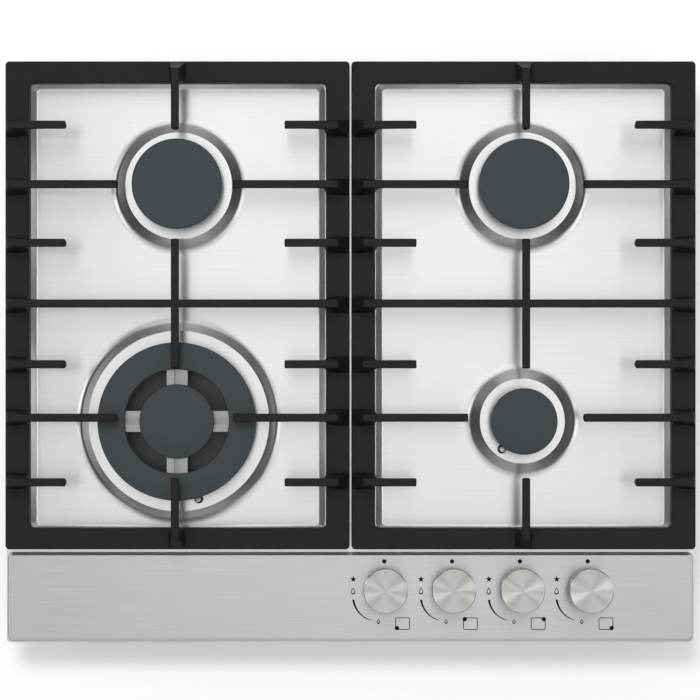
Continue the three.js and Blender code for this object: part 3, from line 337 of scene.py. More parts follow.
def add_piece(name, mesh, body, nodes=()):
    piece = bpy.data.objects.new(name, mesh)
    bpy.context.scene.collection.objects.link(piece)
    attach(piece, body)
    if nodes:
        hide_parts(*nodes)
    return piece


def weigh_normals(piece):
    weighted = piece.modifiers.new("flat faces stay flat", "WEIGHTED_NORMAL")
    weighted.keep_sharp = True


def combined(name, mesh, operation, others):
    """The mesh with the other meshes joined to it or cut from it."""
    scene = bpy.context.scene.collection
    group = bpy.data.collections.new(f"{name}_tools")
    bpy.context.scene.collection.children.link(group)
    base = bpy.data.objects.new(f"{name}_base", mesh)
    scene.objects.link(base)
    tools = []
    for index, other in enumerate(others):
        tool = bpy.data.objects.new(f"{name}_tool_{index}", other)
        group.objects.link(tool)
        tools.append(tool)
    modifier = base.modifiers.new("combine", "BOOLEAN")
    modifier.operand_type = "COLLECTION"
    modifier.collection = group
    modifier.operation = operation
    modifier.solver = "EXACT"
    bpy.context.view_layer.update()
    evaluated = base.evaluated_get(bpy.context.evaluated_depsgraph_get())
    result = bpy.data.meshes.new_from_object(evaluated)
    result.name = name
    for tool in tools:
        bpy.data.objects.remove(tool)
    bpy.data.objects.remove(base)
    bpy.data.collections.remove(group)
    return result


# ---- Places ----

def box_mm(node):
    low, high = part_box(node)
    return low / MM, high / MM


def middle_of(node):
    low, high = box_mm(node)
    return ((low.x + high.x) / 2, (low.y + high.y) / 2)


def radius_of(node):
    low, high = box_mm(node)
    return (high.x - low.x) / 2


plate_low, plate_high = box_mm("top_plate")
half_width = plate_high.x
half_depth = plate_high.y
hem_bottom = plate_low.z
panel_top = plate_high.z
flange_top = panel_top - PANEL_RISE
well_floor = flange_top - WELL_DEPTH
plinth_top = well_floor + PLINTH_RISE
panel_foot = -half_depth + PANEL_DEPTH
burner_places = {name: middle_of(f"burner_cup_{name}") for name in BURNERS}
knob_places = {number: middle_of(f"tap_spindle_{number}") for number in KNOBS}


# ---- Finishes ----

def linear(code):
    """An sRGB colour written as #rrggbb, as linear RGBA."""
    values = [int(code[start:start + 2], 16) / 255 for start in (1, 3, 5)]
    return tuple(v / 12.92 if v <= 0.04045 else ((v + 0.055) / 1.055) ** 2.4 for v in values) + (1.0,)


def add_node(tree, kind, settings=None, links=None):
    """One node with its properties or socket values set and its inputs linked to other outputs."""
    node = tree.nodes.new(kind)
    for name, value in (settings or {}).items():
        if isinstance(name, int) or name in node.inputs:
            node.inputs[name].default_value = value
        else:
            setattr(node, name, value)
    for name, output in (links or {}).items():
        tree.links.new(output, node.inputs[name])
    return node


def new_finish(name, settings):
    """A material with its shader set, and that shader."""
    material = bpy.data.materials.new(name)
    material.use_nodes = True
    tree = material.node_tree
    tree.nodes.clear()
    shader = add_node(tree, "ShaderNodeBsdfPrincipled", settings)
    add_node(tree, "ShaderNodeOutputMaterial", links={"Surface": shader.outputs[0]})
    return material, tree, shader


def mapped(tree, scale, kind="Object", location=(0, 0, 0)):
    place = add_node(tree, "ShaderNodeTexCoord")
    return add_node(
        tree, "ShaderNodeMapping", {"Scale": scale, "Location": location}, {"Vector": place.outputs[kind]},
    ).outputs[0]


def tint(tree, shader, amount, dark, light, low=0.3, high=0.7):
    """Colours the shader between two close colours by an amount."""
    ramp = add_node(tree, "ShaderNodeValToRGB", links={"Fac": amount})
    ramp.color_ramp.elements[0].position = low
    ramp.color_ramp.elements[0].color = linear(dark)
    ramp.color_ramp.elements[1].position = high
    ramp.color_ramp.elements[1].color = linear(light)
    tree.links.new(ramp.outputs[0], shader.inputs["Base Color"])


def spread(tree, shader, socket, amount, low, high):
    """Drives one socket of the shader between two values by an amount."""
    between = add_node(
        tree, "ShaderNodeMapRange", {"To Min": low, "To Max": high}, {"Value": amount},
    )
    tree.links.new(between.outputs[0], shader.inputs[socket])


def bump(tree, shader, height, depth_mm):
    relief = add_node(
        tree, "ShaderNodeBump", {"Strength": 1.0, "Distance": depth_mm * MM}, {"Height": height},
    )
    tree.links.new(relief.outputs[0], shader.inputs["Normal"])


def brushed_stainless_steel(name, dark, light, roughness):
    """Stainless sheet drawn under an abrasive belt along X, which leaves long fine hairlines.

    Real hairlines are about 0.1 mm apart. They are drawn 1 mm apart, because that still shows.
    """
    hairline, run = 1.0 * MM, 70 * MM
    material, tree, shader = new_finish(name, {"Metallic": 1.0, "Roughness": roughness, "Anisotropic": 0.85})
    grain = add_node(tree, "ShaderNodeTexNoise", {"Scale": 1.0, "Detail": 3.0, "Roughness": 0.6}, {
        "Vector": mapped(tree, (1 / run, 1 / hairline, 1 / hairline))})
    cloud = add_node(tree, "ShaderNodeTexNoise", {"Scale": 1.0, "Detail": 1.0}, {
        "Vector": mapped(tree, (1 / 0.16, 1 / 0.07, 1 / 0.07))})
    mixed = add_node(tree, "ShaderNodeMath", {"operation": "MULTIPLY_ADD", 1: 0.75}, {
        0: grain.outputs["Fac"]})
    soft = add_node(tree, "ShaderNodeMath", {"operation": "MULTIPLY", 1: 0.25}, {0: cloud.outputs["Fac"]})
    tree.links.new(soft.outputs[0], mixed.inputs[2])
    tint(tree, shader, mixed.outputs[0], dark, light)
    spread(tree, shader, "Roughness", grain.outputs["Fac"], roughness - 0.05, roughness + 0.05)
    across = add_node(tree, "ShaderNodeCombineXYZ", {"X": 0.0, "Y": 1.0, "Z": 0.0})
    tree.links.new(across.outputs[0], shader.inputs["Tangent"])
    bump(tree, shader, grain.outputs["Fac"], 0.02)
    return material


def spun_aluminium():
    """Anodised aluminium turned on a lathe, whose fine rings fan the light out from the middle.

    Real turning marks are 0.1 mm apart. They are drawn 0.8 mm apart, and faint.
    """
    material, tree, shader = new_finish("spun_anodised_aluminium", {
        "Base Color": linear("#d6d6d2"), "Metallic": 1.0, "Roughness": 0.36, "Anisotropic": 0.9,
        "Anisotropic Rotation": 0.25})
    width = 2 * KNOB_RADIUS * MM
    around = mapped(tree, (width, width, 15 * MM), "Generated", (-width / 2, -width / 2, 0))
    rings = add_node(tree, "ShaderNodeTexWave", {
        "wave_type": "RINGS", "rings_direction": "Z", "Scale": math.pi / 10 / (0.8 * MM), "Distortion": 0.6,
        "Detail": 2.0}, {"Vector": around})
    tint(tree, shader, rings.outputs["Fac"], "#d0d0cb", "#dcdcd8", 0.0, 1.0)
    spread(tree, shader, "Roughness", rings.outputs["Fac"], 0.33, 0.39)
    tangent = add_node(tree, "ShaderNodeTangent", {"direction_type": "RADIAL", "axis": "Z"})
    tree.links.new(tangent.outputs[0], shader.inputs["Tangent"])
    return material


def grained(name, settings, dark, light, grain_mm, depth_mm, rough=None):
    """A finish whose colour, gloss and relief all follow one even grain of a real size."""
    material, tree, shader = new_finish(name, settings)
    grain = add_node(tree, "ShaderNodeTexNoise", {"Scale": 1 / (grain_mm * MM), "Detail": 3.0}, {
        "Vector": mapped(tree, (1, 1, 1))})
    tint(tree, shader, grain.outputs["Fac"], dark, light)
    if rough:
        spread(tree, shader, "Roughness", grain.outputs["Fac"], *rough)
    bump(tree, shader, grain.outputs["Fac"], depth_mm)
    return material


def galvanised_steel():
    """Zinc-dipped sheet, with the pale angular spangle that the zinc freezes into."""
    material, tree, shader = new_finish("galvanised_steel", {"Metallic": 1.0, "Roughness": 0.45})
    spangle = add_node(tree, "ShaderNodeTexVoronoi", {"Scale": 1 / (9 * MM), "Randomness": 1.0}, {
        "Vector": mapped(tree, (1, 1, 1))})
    grey = add_node(tree, "ShaderNodeRGBToBW", links={"Color": spangle.outputs["Color"]})
    tint(tree, shader, grey.outputs[0], "#9a9ea1", "#b4b8ba", 0.2, 0.8)
    spread(tree, shader, "Roughness", grey.outputs[0], 0.36, 0.52)
    return material


# One stainless steel in two copies: the panel's copy has a darker colour, painted shade for the panel's
# darker look, and is a little rougher
steel_wells = brushed_stainless_steel("brushed_stainless_steel", "#eeeeef", "#f8f8f8", 0.32)
steel_panel_painted_darker = brushed_stainless_steel("stainless_steel_painted_darker", "#d6d6d8", "#e4e4e5", 0.38)
# Vitreous enamel fired on sand-cast iron: the iron's grain shows through as a soft matt relief
cast_enamel = grained(
    "matt_enamelled_cast_iron", {"Specular IOR Level": 0.3}, "#131316", "#1d1d21", 1.3, 0.08, (0.5, 0.62))
# Smooth matt vitreous enamel on pressed steel, with a faint mottle
cap_enamel = grained(
    "matt_enamelled_steel", {"Specular IOR Level": 0.4}, "#31373b", "#384045", 1.4, 0.01, (0.42, 0.5))
spun = spun_aluminium()
# Die-cast aluminium, tumbled: a fine even grain that keeps a soft metal sheen
cast_aluminium = grained(
    "die_cast_aluminium", {"Metallic": 1.0}, "#a3a5a7", "#b4b6b7", 0.8, 0.03, (0.4, 0.52))
# The same casting in a darker grey, given to the burner cups under the caps
darker_casting = grained(
    "darker_die_cast_aluminium", {"Metallic": 1.0}, "#5a5c5f", "#6a6c6f", 0.8, 0.03, (0.5, 0.6))
galvanised = galvanised_steel()
# Bright zinc plate on pressed steel, slightly cloudy
zinc_plate = grained(
    "zinc_plated_steel", {"Metallic": 1.0}, "#b4b7ba", "#c6c8ca", 5.0, 0.01, (0.28, 0.38))
# Turned brass, a little dulled by handling
brass = grained("turned_brass", {"Metallic": 1.0}, "#ad8c45", "#bd9c55", 2.0, 0.01, (0.3, 0.42))
# Glazed alumina ceramic: nearly white and glossy
ceramic = grained("glazed_alumina", {"IOR": 1.6}, "#dedad0", "#eae7df", 1.0, 0.01, (0.2, 0.3))
# Heat-proof rubber, moulded: dull, with a dusty bloom
rubber = grained("moulded_rubber", {"Specular IOR Level": 0.3}, "#19191a", "#232324", 1.2, 0.04, (0.75, 0.9))
# Closed-cell foam tape: pores of about half a millimetre
foam = grained("closed_cell_foam", {"Specular IOR Level": 0.2}, "#2f3031", "#454647", 0.7, 0.25, (0.85, 1.0))
# Glass-filled nylon, moulded with a spark-eroded grain
plastic = grained("moulded_black_nylon", {}, "#1b1c1e", "#25262a", 0.5, 0.03, (0.45, 0.6))
# Silicone sleeving of the ignition leads: soft red rubber with a satin skin
silicone = grained("silicone_sleeving", {}, "#6e2620", "#7e2f27", 1.0, 0.02, (0.5, 0.62))
# Drawn aluminium tube, bright with faint drawing marks
drawn_tube = grained("drawn_aluminium_tube", {"Metallic": 1.0}, "#b0b2b4", "#bfc1c2", 3.0, 0.01, (0.3, 0.4))
# Steel pipe with a dull zinc coat
zinc_pipe = grained("zinc_coated_pipe", {"Metallic": 1.0}, "#9c9fa2", "#abaeb0", 1.5, 0.02, (0.38, 0.5))
# Screen-printed ink, fired on the steel: flat black with hardly any gloss
panel_ink = grained(
    "screen_printed_ink", {"Specular IOR Level": 0.2}, "#060606", "#0d0d0d", 0.4, 0.005, (0.6, 0.7))
# White paint run into a drilled dot: a painted highlight that stands for the glint of a shiny milled dimple
pointer_painted_highlight = grained(
    "pointer_painted_highlight", {"Specular IOR Level": 0.4}, "#e8e8e6", "#f2f2f0", 0.5, 0.005, (0.4, 0.5))


# ---- Pressed top plate ----

def top_plate():
    shape = Shape()
    wells, panel = 0, 1

    def plate_loop(inset, level):
        return shape.loop(rectangle_loop(
            -half_width + inset, half_width - inset, -half_depth + inset, half_depth - inset,
            PLATE_CORNER - inset, level))

    edge = rounded([
        (HEM_WIDTH + SHEET, hem_bottom, 0), (0, hem_bottom, HEM_BEND), (0, flange_top, PLATE_EDGE),
        (PLATE_EDGE, flange_top, 0)], steps=4)
    rim = [plate_loop(inset, level) for inset, level in edge[:-1]]
    shape.skin(rim, wells)

    def panel_loop(inset, level):
        side = PANEL_INSET + inset
        return shape.loop(rectangle_loop(
            -half_width + side, half_width - side, -half_depth + side, panel_foot - inset,
            PANEL_CORNER - inset, level))

    step = rounded([
        (-PANEL_FOOT_FLAT, flange_top, 0), (0, flange_top, PANEL_FOOT_FILLET),
        (PANEL_WALL, panel_top, PANEL_EDGE), (PANEL_WALL + PANEL_TOP_FLAT, panel_top, 0)], steps=4)
    rise = [panel_loop(inset, level) for inset, level in step]
    shape.skin(rise, panel)
    spindle_holes = [shape.loop(circle(SPINDLE_HOLE, panel_top, place, 32)) for place in knob_places.values()]
    shape.fill([rise[-1], *spindle_holes], panel)

    openings = []
    for side in (-1, 1):
        edges = sorted((side * RIDGE_WIDTH / 2, side * (half_width - SIDE_FLANGE)))
        front, back = panel_foot + FRONT_FLANGE, half_depth - BACK_FLANGE
        wall = rounded([
            (WELL_TOP_FLAT, flange_top, 0), (0, flange_top, WELL_EDGE),
            (-WELL_RUN, well_floor, WELL_FILLET), (-WELL_RUN - WELL_FLOOR_FLAT, well_floor, 0)], steps=5)
        loops = [shape.loop(rectangle_loop(
            edges[0] - grow, edges[1] + grow, front - grow, back + grow, WELL_CORNER + grow, level, 10,
        )) for grow, level in wall]
        shape.skin(loops, wells)
        openings.append(loops[0])
        feet = [
            plinth(shape, name, place) for name, place in burner_places.items() if place[0] * side > 0]
        shape.fill([loops[-1], *feet], wells)
    shape.fill([rim[-1], rise[0], *openings], wells)
    return shape


def plinth(shape, name, place):
    """The pressed step that carries a burner. Gives the loop where it leaves the well's floor."""
    foot, top, body = PLINTHS[name]
    steps = 128 if name == "wok" else 96
    slope = math.atan(PLINTH_RISE / (foot - top)) * PLINTH_STEEPER
    toe = top + PLINTH_RISE / math.tan(slope)
    start = toe + PLINTH_TOE * math.tan(slope / 2) + PLINTH_FOOT_FLAT
    profile = rounded([
        (start, well_floor, 0), (toe, well_floor, PLINTH_TOE), (top, plinth_top, PLINTH_EDGE),
        (top - PLINTH_TOP_FLAT, plinth_top, 0)], steps=6)
    loops = [shape.loop(circle(radius, level, place, steps)) for radius, level in profile]
    shape.skin(loops)
    hole = shape.loop(circle(body + HOLE_GAP, plinth_top, place, 64))
    igniter = shape.loop(circle(IGNITER_HOLE, plinth_top, middle_of(f"igniter_{name}"), 24))
    shape.fill([loops[-1], hole, igniter])
    return loops[0]


def add_top_plate():
    mesh = mesh_of("pressed_top", top_plate(), (steel_wells, steel_panel_painted_darker))
    flange = min(mesh.polygons, key=lambda face: abs(face.center.z - flange_top * MM) - face.area)
    if flange.normal.z < 0:
        mesh.flip_normals()
    shade(mesh, 50)
    piece = add_piece("pressed_top", mesh, "root", ["top_plate"])
    sheet = piece.modifiers.new("sheet", "SOLIDIFY")
    sheet.thickness = SHEET * MM
    sheet.offset = -1
    sheet.use_even_offset = True
    weigh_normals(piece)


# ---- Cast pan supports ----

def rail_frame(left, right, front, back, bottom, top):
    shape = Shape()
    section = rounded([
        (RAIL_EDGE * 2, bottom, 0), (0, bottom, RAIL_FOOT_EDGE), (0, top, RAIL_EDGE),
        (RAIL_EDGE * 2, top, 0)], steps=4)
    outer = [shape.loop(rectangle_loop(
        left + inset, right - inset, front + inset, back - inset, RAIL_CORNER - inset * CORNER_SHARE, level,
    )) for inset, level in section]
    inner = [shape.loop(rectangle_loop(
        left + SIDE_RAIL - inset, right - SIDE_RAIL + inset,
        front + END_RAIL - inset, back - END_RAIL + inset, RAIL_CORNER + inset * CORNER_SHARE, level,
    )) for inset, level in reversed(section)]
    shape.skin(outer + inner, closed=True)
    return shape


def level_at(line, along):
    """Where a line of (along, level) points stands at one place along it."""
    for (start, low), (end, high) in zip(line, line[1:]):
        if start <= along <= end:
            return low if end - start < 1e-6 else low + (high - low) * (along - start) / (end - start)
    return line[-1][1]


def smooth_share(value, start, end):
    share = min(max((value - start) / (end - start), 0), 1)
    return share * share * (3 - 2 * share)


def bar(length, start, end, rail_top, bar_top, place):
    """A cast bar. Each end is a free tip, or a heel on a rail given as (rail width, setback)."""
    low = rail_top - HEEL_SINK

    def top_corners(finish):
        if not finish:
            return [(0, bar_top - TIP_DEPTH / 2, 0), (0, bar_top, TIP_EDGE)]
        _, setback = finish
        return [(HEEL_START, low, 0), (HEEL_BACK + setback, bar_top, HEEL_CREST)]

    def bottom_corners(finish):
        if not finish:
            return [(0, bar_top - TIP_DEPTH / 2, 0), (0, bar_top - TIP_DEPTH, TIP_UNDER_EDGE)]
        rail, _ = finish
        return [
            (HEEL_START, low, 0), (rail, low, HEEL_TOE),
            (rail + HEEL_REACH, bar_top - BAR_DEPTH, BELLY_ROUND)]

    def mirrored(corners):
        return [(length - along, level, radius) for along, level, radius in reversed(corners)]

    crest = rounded(top_corners(start) + mirrored(top_corners(end)), steps=6)
    belly_corners = bottom_corners(start) + mirrored(bottom_corners(end))
    if not start and not end:
        belly_corners.insert(2, (length / 2, bar_top - BAR_DEPTH, BELLY_BEND))
    belly = rounded(belly_corners, steps=6)
    wanted = sorted(along for along, _ in crest + belly)
    stations = [wanted[0] + STATION_INSET]
    for along in wanted[1:]:
        if along - stations[-1] > STATION_GAP:
            stations.append(along)
    stations[-1] = wanted[-1] - STATION_INSET

    def heel_share(along):
        share = 0
        for finish, distance in ((start, along), (end, length - along)):
            if finish:
                fade = (finish[0] + HEEL_FADE[0], finish[0] + HEEL_REACH + HEEL_FADE[1])
                share = max(share, 1 - smooth_share(distance, *fade))
        return share

    def end_shrink(along):
        shrink = 0
        for finish, distance in ((start, along), (end, length - along)):
            if not finish and distance < BAR_EDGE:
                shrink = BAR_EDGE - math.sqrt(BAR_EDGE ** 2 - (BAR_EDGE - distance) ** 2)
        return shrink

    shape = Shape()
    loops = []
    for along in stations:
        top, bottom = level_at(crest, along), level_at(belly, along)
        heel = heel_share(along)
        height = max(top - bottom, 0.1)
        side = []

        def half_at(level):
            rise = min(max((level - rail_top) / (bar_top - rail_top), 0), 1)
            flared = BAR_TOP + (HEEL_HALF - BAR_TOP) * (1 - rise) ** HEEL_CURVE
            drafted = BAR_FOOT + (BAR_TOP - BAR_FOOT) * (level - bottom) / height
            return drafted + (flared - drafted) * heel - end_shrink(along)

        edge = min(BAR_EDGE, height * 0.3)
        for share in BAR_SIDE_LEVELS:
            level = bottom + (height - edge) * share
            side.append((half_at(level), level))
        for step in range(4):
            angle = step / 3 * math.pi / 2
            side.append((
                half_at(top) - edge + edge * math.cos(angle), top - edge + edge * math.sin(angle)))
        ring = side + [(-across, level) for across, level in reversed(side)]
        loops.append(shape.loop(place @ Vector((along, across, level)) for across, level in ring))
    shape.skin(loops)
    shape.face(loops[0])
    shape.face(loops[-1])
    return shape


def turned_place(x, y, turn):
    return Matrix.Translation((x, y, 0)) @ Matrix.Rotation(turn, 4, "Z")


def add_pan_support(name, side):
    low, high = box_mm(f"pan_support_{name}")
    bottom, bar_top = low.z, high.z
    rail_top = bottom + RAIL_HEIGHT
    front, back = low.y, high.y
    outer_edge, inner_edge = (low.x, high.x) if side < 0 else (high.x, low.x)
    middle = (low.x + high.x) / 2
    half = (high.x - low.x) / 2
    front_burner_y = burner_places["front_right"][1]
    back_burner_y = burner_places["back_right"][1]
    crossbar_y = (front_burner_y + back_burner_y) / 2 - CROSSBAR_SHIFT
    inward = math.pi if side > 0 else 0
    rows = [(crossbar_y + step, SHORT_TIP) for step in (-OUTER_ROW, -INNER_ROW, INNER_ROW, OUTER_ROW)]
    rows += [(front_burner_y + FRONT_ROW_SHIFT, LONG_TIP), (back_burner_y + BACK_ROW_SHIFT, LONG_TIP)]
    bars = []
    for y, tip in rows:
        bars.append(bar(
            half - tip, (SIDE_RAIL, OUTER_SETBACK), None, rail_top, bar_top,
            turned_place(outer_edge, y, inward)))
        bars.append(bar(
            half - tip, (SIDE_RAIL, INNER_SETBACK), None, rail_top, bar_top,
            turned_place(inner_edge, y, inward + math.pi)))
    bars.append(bar(
        2 * half, (SIDE_RAIL, OUTER_SETBACK), (SIDE_RAIL, INNER_SETBACK), rail_top, bar_top,
        turned_place(outer_edge, crossbar_y, inward)))
    end_heel = (END_RAIL, INNER_SETBACK)
    bars.append(bar(
        back - back_burner_y - BACK_BAR_TIP, end_heel, None, rail_top, bar_top,
        turned_place(middle, back, -math.pi / 2)))
    bars.append(bar(
        front_burner_y - FRONT_BAR_TIP - front, end_heel, None, rail_top, bar_top,
        turned_place(middle, front, math.pi / 2)))
    bars.append(bar(
        2 * MIDDLE_BAR_REACH, None, None, rail_top, bar_top,
        turned_place(middle, crossbar_y - MIDDLE_BAR_REACH, math.pi / 2)))
    rails = mesh_of(f"cast_support_{name}", rail_frame(low.x, high.x, front, back, bottom, rail_top))
    pieces = [mesh_of(f"bar_{index}", shape) for index, shape in enumerate(bars)]
    mesh = combined(f"cast_support_{name}", rails, "UNION", pieces)
    mesh.materials.clear()
    mesh.materials.append(cast_enamel)
    mesh.polygons.foreach_set("material_index", [0] * len(mesh.polygons))
    shade(mesh, 42)
    piece = add_piece(
        f"cast_support_{name}", mesh, f"{name}_support", [f"pan_support_{name}"])
    weigh_normals(piece)


def add_support_foot(node, body):
    low, high = box_mm(node)
    centre = middle_of(node)
    pad = radius_of(node)
    shoulder = low.z + FOOT_PAD
    shape = Shape()
    turned(shape, rounded([
        (0, low.z, 0), (pad, low.z, 0.4), (pad, shoulder, 0.2), (FOOT_PEG, shoulder, 0.2),
        (FOOT_PEG, high.z, 0.6), (0, high.z, 0)], steps=3), centre, 32)
    mesh = mesh_of(f"rubber_{node}", shape, (rubber,))
    shade(mesh)
    add_piece(f"rubber_{node}", mesh, body, [node])


# ---- Burners ----

def add_round_piece(name, profile, centre, finish, body, nodes, steps=96, cuts=(), closed=False):
    shape = Shape()
    turned(shape, profile, centre, steps, 0, closed)
    mesh = mesh_of(name, shape, (finish,))
    if cuts:
        tools = [mesh_of(f"cut_{index}", cut) for index, cut in enumerate(cuts)]
        mesh = combined(name, mesh, "DIFFERENCE", tools)
    shade(mesh, 32)
    return add_piece(name, mesh, body, nodes)


def add_cap(name, radius, bottom, dome, body, node):
    top = bottom + CAP_THICKNESS
    crown_inside = radius - CAP_OVERHANG - CROWN_WALL - CAP_LIP_GAP
    profile = rounded([
        (0, bottom + CAP_RECESS, 0), (crown_inside - CAP_LIP_WIDTH, bottom - CAP_LIP, 0.6),
        (crown_inside, bottom - CAP_LIP, 0.4),
        (crown_inside, bottom, 0.3), (radius, bottom, 0.7), (radius, top, CAP_EDGE),
        (radius * 0.6, top + dome * 0.64, radius * 0.8), (0, top + dome, 0)], steps=6)
    add_round_piece(
        f"enamelled_{node}", profile, burner_places[name], cap_enamel, body, [node])


def port_cuts(count, inner, outer, top, centre):
    cuts = Shape()
    for index in range(count):
        place = turned_place(*centre, (index + 0.5) * 2 * math.pi / count)
        block(cuts, (inner, -PORT_WIDTH / 2, top - PORT_DEPTH), (outer, PORT_WIDTH / 2, top + 1), place)
    return cuts


def igniter_cut(name, bottom, top):
    cut = Shape()
    radius = IGNITER_RADIUS + IGNITER_CLEARANCE
    turned(cut, [(0, bottom), (radius, bottom), (radius, top), (0, top)], middle_of(f"igniter_{name}"), 24)
    return cut


def add_crown(name):
    node = f"flame_crown_{name}"
    low, high = box_mm(node)
    centre = burner_places[name]
    radius = radius_of(node)
    bottom, top = low.z + CROWN_NECK_LENGTH, high.z
    floor = bottom + CROWN_FLOOR
    if name == "wok":
        add_wok_crown(node, bottom, top, low.z)
        return
    corners = [
        (CROWN_BORE, low.z, 0), (CROWN_NECK, low.z, 0.3), (CROWN_NECK, bottom, 0.3),
        (radius - CROWN_TAPER, bottom, 0.5), (radius, floor, 0.8), (radius, top, 0.3),
        (radius - CROWN_WALL, top, 0.3), (radius - CROWN_WALL, floor, 0.5), (CROWN_BORE, floor, 0)]
    count = round(2 * math.pi * radius / PORT_PITCH)
    cuts = [
        port_cuts(count, radius - CROWN_WALL - 1, radius + 1, top, centre),
        igniter_cut(name, plinth_top - 1, top + 2)]
    add_round_piece(
        f"cast_{node}", rounded(corners, closed=True, steps=3), centre, cast_aluminium, f"crown_{name}",
        [node], 96, cuts, True)


def add_wok_crown(node, bottom, top, neck_bottom):
    centre = burner_places["wok"]
    radius = radius_of(node)
    inner = RING_INNER + WOK_RING_STEP
    hub = radius_of("burner_cap_wok") - CAP_OVERHANG
    floor = bottom + CROWN_FLOOR
    ring = Shape()
    turned(ring, rounded([
        (inner, bottom, 0.6), (radius - CROWN_TAPER, bottom, 0.5), (radius, floor, 0.8), (radius, top, 0.3),
        (radius - CROWN_WALL, top, 0.3), (radius - CROWN_WALL, floor, 0.4),
        (inner + WOK_RING_WALL, floor, 0.4), (inner + WOK_RING_WALL, top, 0.3), (inner, top, 0.5),
    ], closed=True, steps=3), centre, 128, 0, True)
    core = Shape()
    turned(core, rounded([
        (CROWN_BORE, neck_bottom, 0.2), (CROWN_NECK, neck_bottom, 0.2), (CROWN_NECK, bottom, 0.2),
        (hub - CROWN_TAPER, bottom, 0.5), (hub, floor, 0.8), (hub, top, 0.3), (hub - CROWN_WALL, top, 0.3),
        (hub - CROWN_WALL, floor, 0.4), (CROWN_BORE, floor, 0.2)], closed=True, steps=3), centre, 96, 0, True)
    bridges = []
    channels = Shape()
    for quarter in range(4):
        place = turned_place(*centre, quarter * math.pi / 2)
        bridge = Shape()
        block(bridge, (hub - 1, -BRIDGE_WIDTH / 2, bottom), (inner + 1, BRIDGE_WIDTH / 2, top), place)
        bridges.append(mesh_of("bridge", bridge))
        block(channels, (hub - 0.5, -BRIDGE_SLOT / 2, top - BRIDGE_SLOT_DEPTH),
              (inner + 0.5, BRIDGE_SLOT / 2, top + 1), place)
    mesh = mesh_of("ring", ring, (cast_aluminium,))
    mesh = combined("wok_crown_body", mesh, "UNION", [mesh_of("core", core), *bridges])
    outer_ports = port_cuts(WOK_OUTER_PORTS, radius - CROWN_WALL - 1, radius + 1, top, centre)
    inner_ports = port_cuts(WOK_INNER_PORTS, hub - CROWN_WALL - 1, hub + 0.6, top, centre)
    cuts = [mesh_of("cut", shape) for shape in (channels, outer_ports, inner_ports)]
    mesh = combined(f"cast_{node}", mesh, "DIFFERENCE", cuts)
    mesh.materials.clear()
    mesh.materials.append(cast_aluminium)
    shade(mesh, 32)
    add_piece(f"cast_{node}", mesh, "crown_wok", [node])


def add_wok_ring_cap():
    node = "wok_ring_cap"
    low, high = box_mm(node)
    bottom, top = low.z + CAP_LIP, high.z
    radius = radius_of(node)
    profile = rounded([
        (RING_INNER, bottom, 0.6), (RING_LIP_START, bottom, 0.2), (RING_LIP_START, low.z, 0.3),
        (RING_LIP_END, low.z, 0.3), (RING_LIP_END, bottom, 0.2), (radius, bottom, 0.7),
        (radius, top, CAP_EDGE), (RING_INNER, top, 1.4),
    ], closed=True, steps=5)
    add_round_piece(
        f"enamelled_{node}", profile, burner_places["wok"], cap_enamel, "ring_cap_wok", [node],
        128, (), True)


def add_igniter(name):
    """A slim ceramic post with a steel tip, in a wider hole of the plinth, held by a clip. The clip and the
    body under it take the black nylon finish, painted shade that darkens the hole round the post.
    """
    node = f"igniter_{name}"
    low, high = box_mm(node)
    shape = Shape()
    post, metal, clip = 0, 1, 2
    shoulder = high.z - IGNITER_TIP_LENGTH
    collar = plinth_top - SHEET - IGNITER_SEAT
    clip_bottom = collar - IGNITER_CLIP_THICKNESS
    body_bottom = collar - IGNITER_BODY_LENGTH
    centre = middle_of(node)
    turned(shape, rounded([
        (IGNITER_TIP, body_bottom, 0), (IGNITER_RADIUS, clip_bottom, 0.3), (IGNITER_CLIP, clip_bottom, 0.2),
        (IGNITER_CLIP, collar, 0.2), (IGNITER_POST, collar, 0)], steps=4), centre, 40, clip)
    turned(shape, rounded([
        (IGNITER_POST, collar, 0), (IGNITER_POST, shoulder - 0.2, 0.7), (IGNITER_TIP, shoulder, 0)],
        steps=4), centre, 40, post)
    turned(shape, [(IGNITER_TIP, shoulder), *rounded([
        (IGNITER_TIP, shoulder + 0.1, 0), (IGNITER_TIP, high.z, 0.5), (0, high.z, 0)], steps=4)],
        centre, 40, metal)
    turned(shape, [(IGNITER_TIP, body_bottom), (IGNITER_TIP, low.z), (0, low.z)], centre, 40, metal)
    mesh = mesh_of(f"spark_{node}", shape, (ceramic, zinc_plate, plastic))
    shade(mesh)
    add_piece(f"spark_{node}", mesh, "root", [node])


# ---- Knobs ----

def add_knob(number):
    node = f"control_knob_{number}"
    low, high = box_mm(node)
    centre = middle_of(node)
    radius = radius_of(node)
    hub_bottom, top = low.z, high.z
    skirt = hub_bottom + KNOB_SKIRT
    inside = radius - KNOB_UNDERCUT - KNOB_WALL
    under_face, face = top - KNOB_FACE, top - KNOB_FACE_DROP
    profile = rounded([
        (0, hub_bottom, 0), (KNOB_HUB, hub_bottom, 0.4), (KNOB_HUB, under_face, 0.3),
        (inside, under_face, 0.4), (inside, skirt, 0.3), (radius - KNOB_UNDERCUT, skirt, 0.4),
        (radius, skirt + KNOB_FLARE, KNOB_FLARE_ROUND), (radius, top, KNOB_EDGE),
        (radius - KNOB_RIM, face, 0.3), (0, face, 0)], steps=5)
    dimple = Shape()
    spot = (centre[0], centre[1] + KNOB_DIMPLE_REACH)
    turned(dimple, rounded([
        (0, top - 0.9, 0), (KNOB_DIMPLE, top - 0.6, 0.5), (KNOB_DIMPLE, top + 1, 0), (0, top + 1, 0),
    ], steps=4), spot, 24)
    mark = mesh_of("dimple", dimple, (pointer_painted_highlight,))
    shape = Shape()
    turned(shape, profile, centre, 128)
    mesh = combined(f"spun_{node}", mesh_of("knob", shape, (spun,)), "DIFFERENCE", [mark])
    shade(mesh, 30)
    add_piece(f"spun_{node}", mesh, f"knob_{number}", [node])


# ---- Printed marks on the panel ----

MARK_TOP = 0.04
MARK_BOTTOM = -0.02

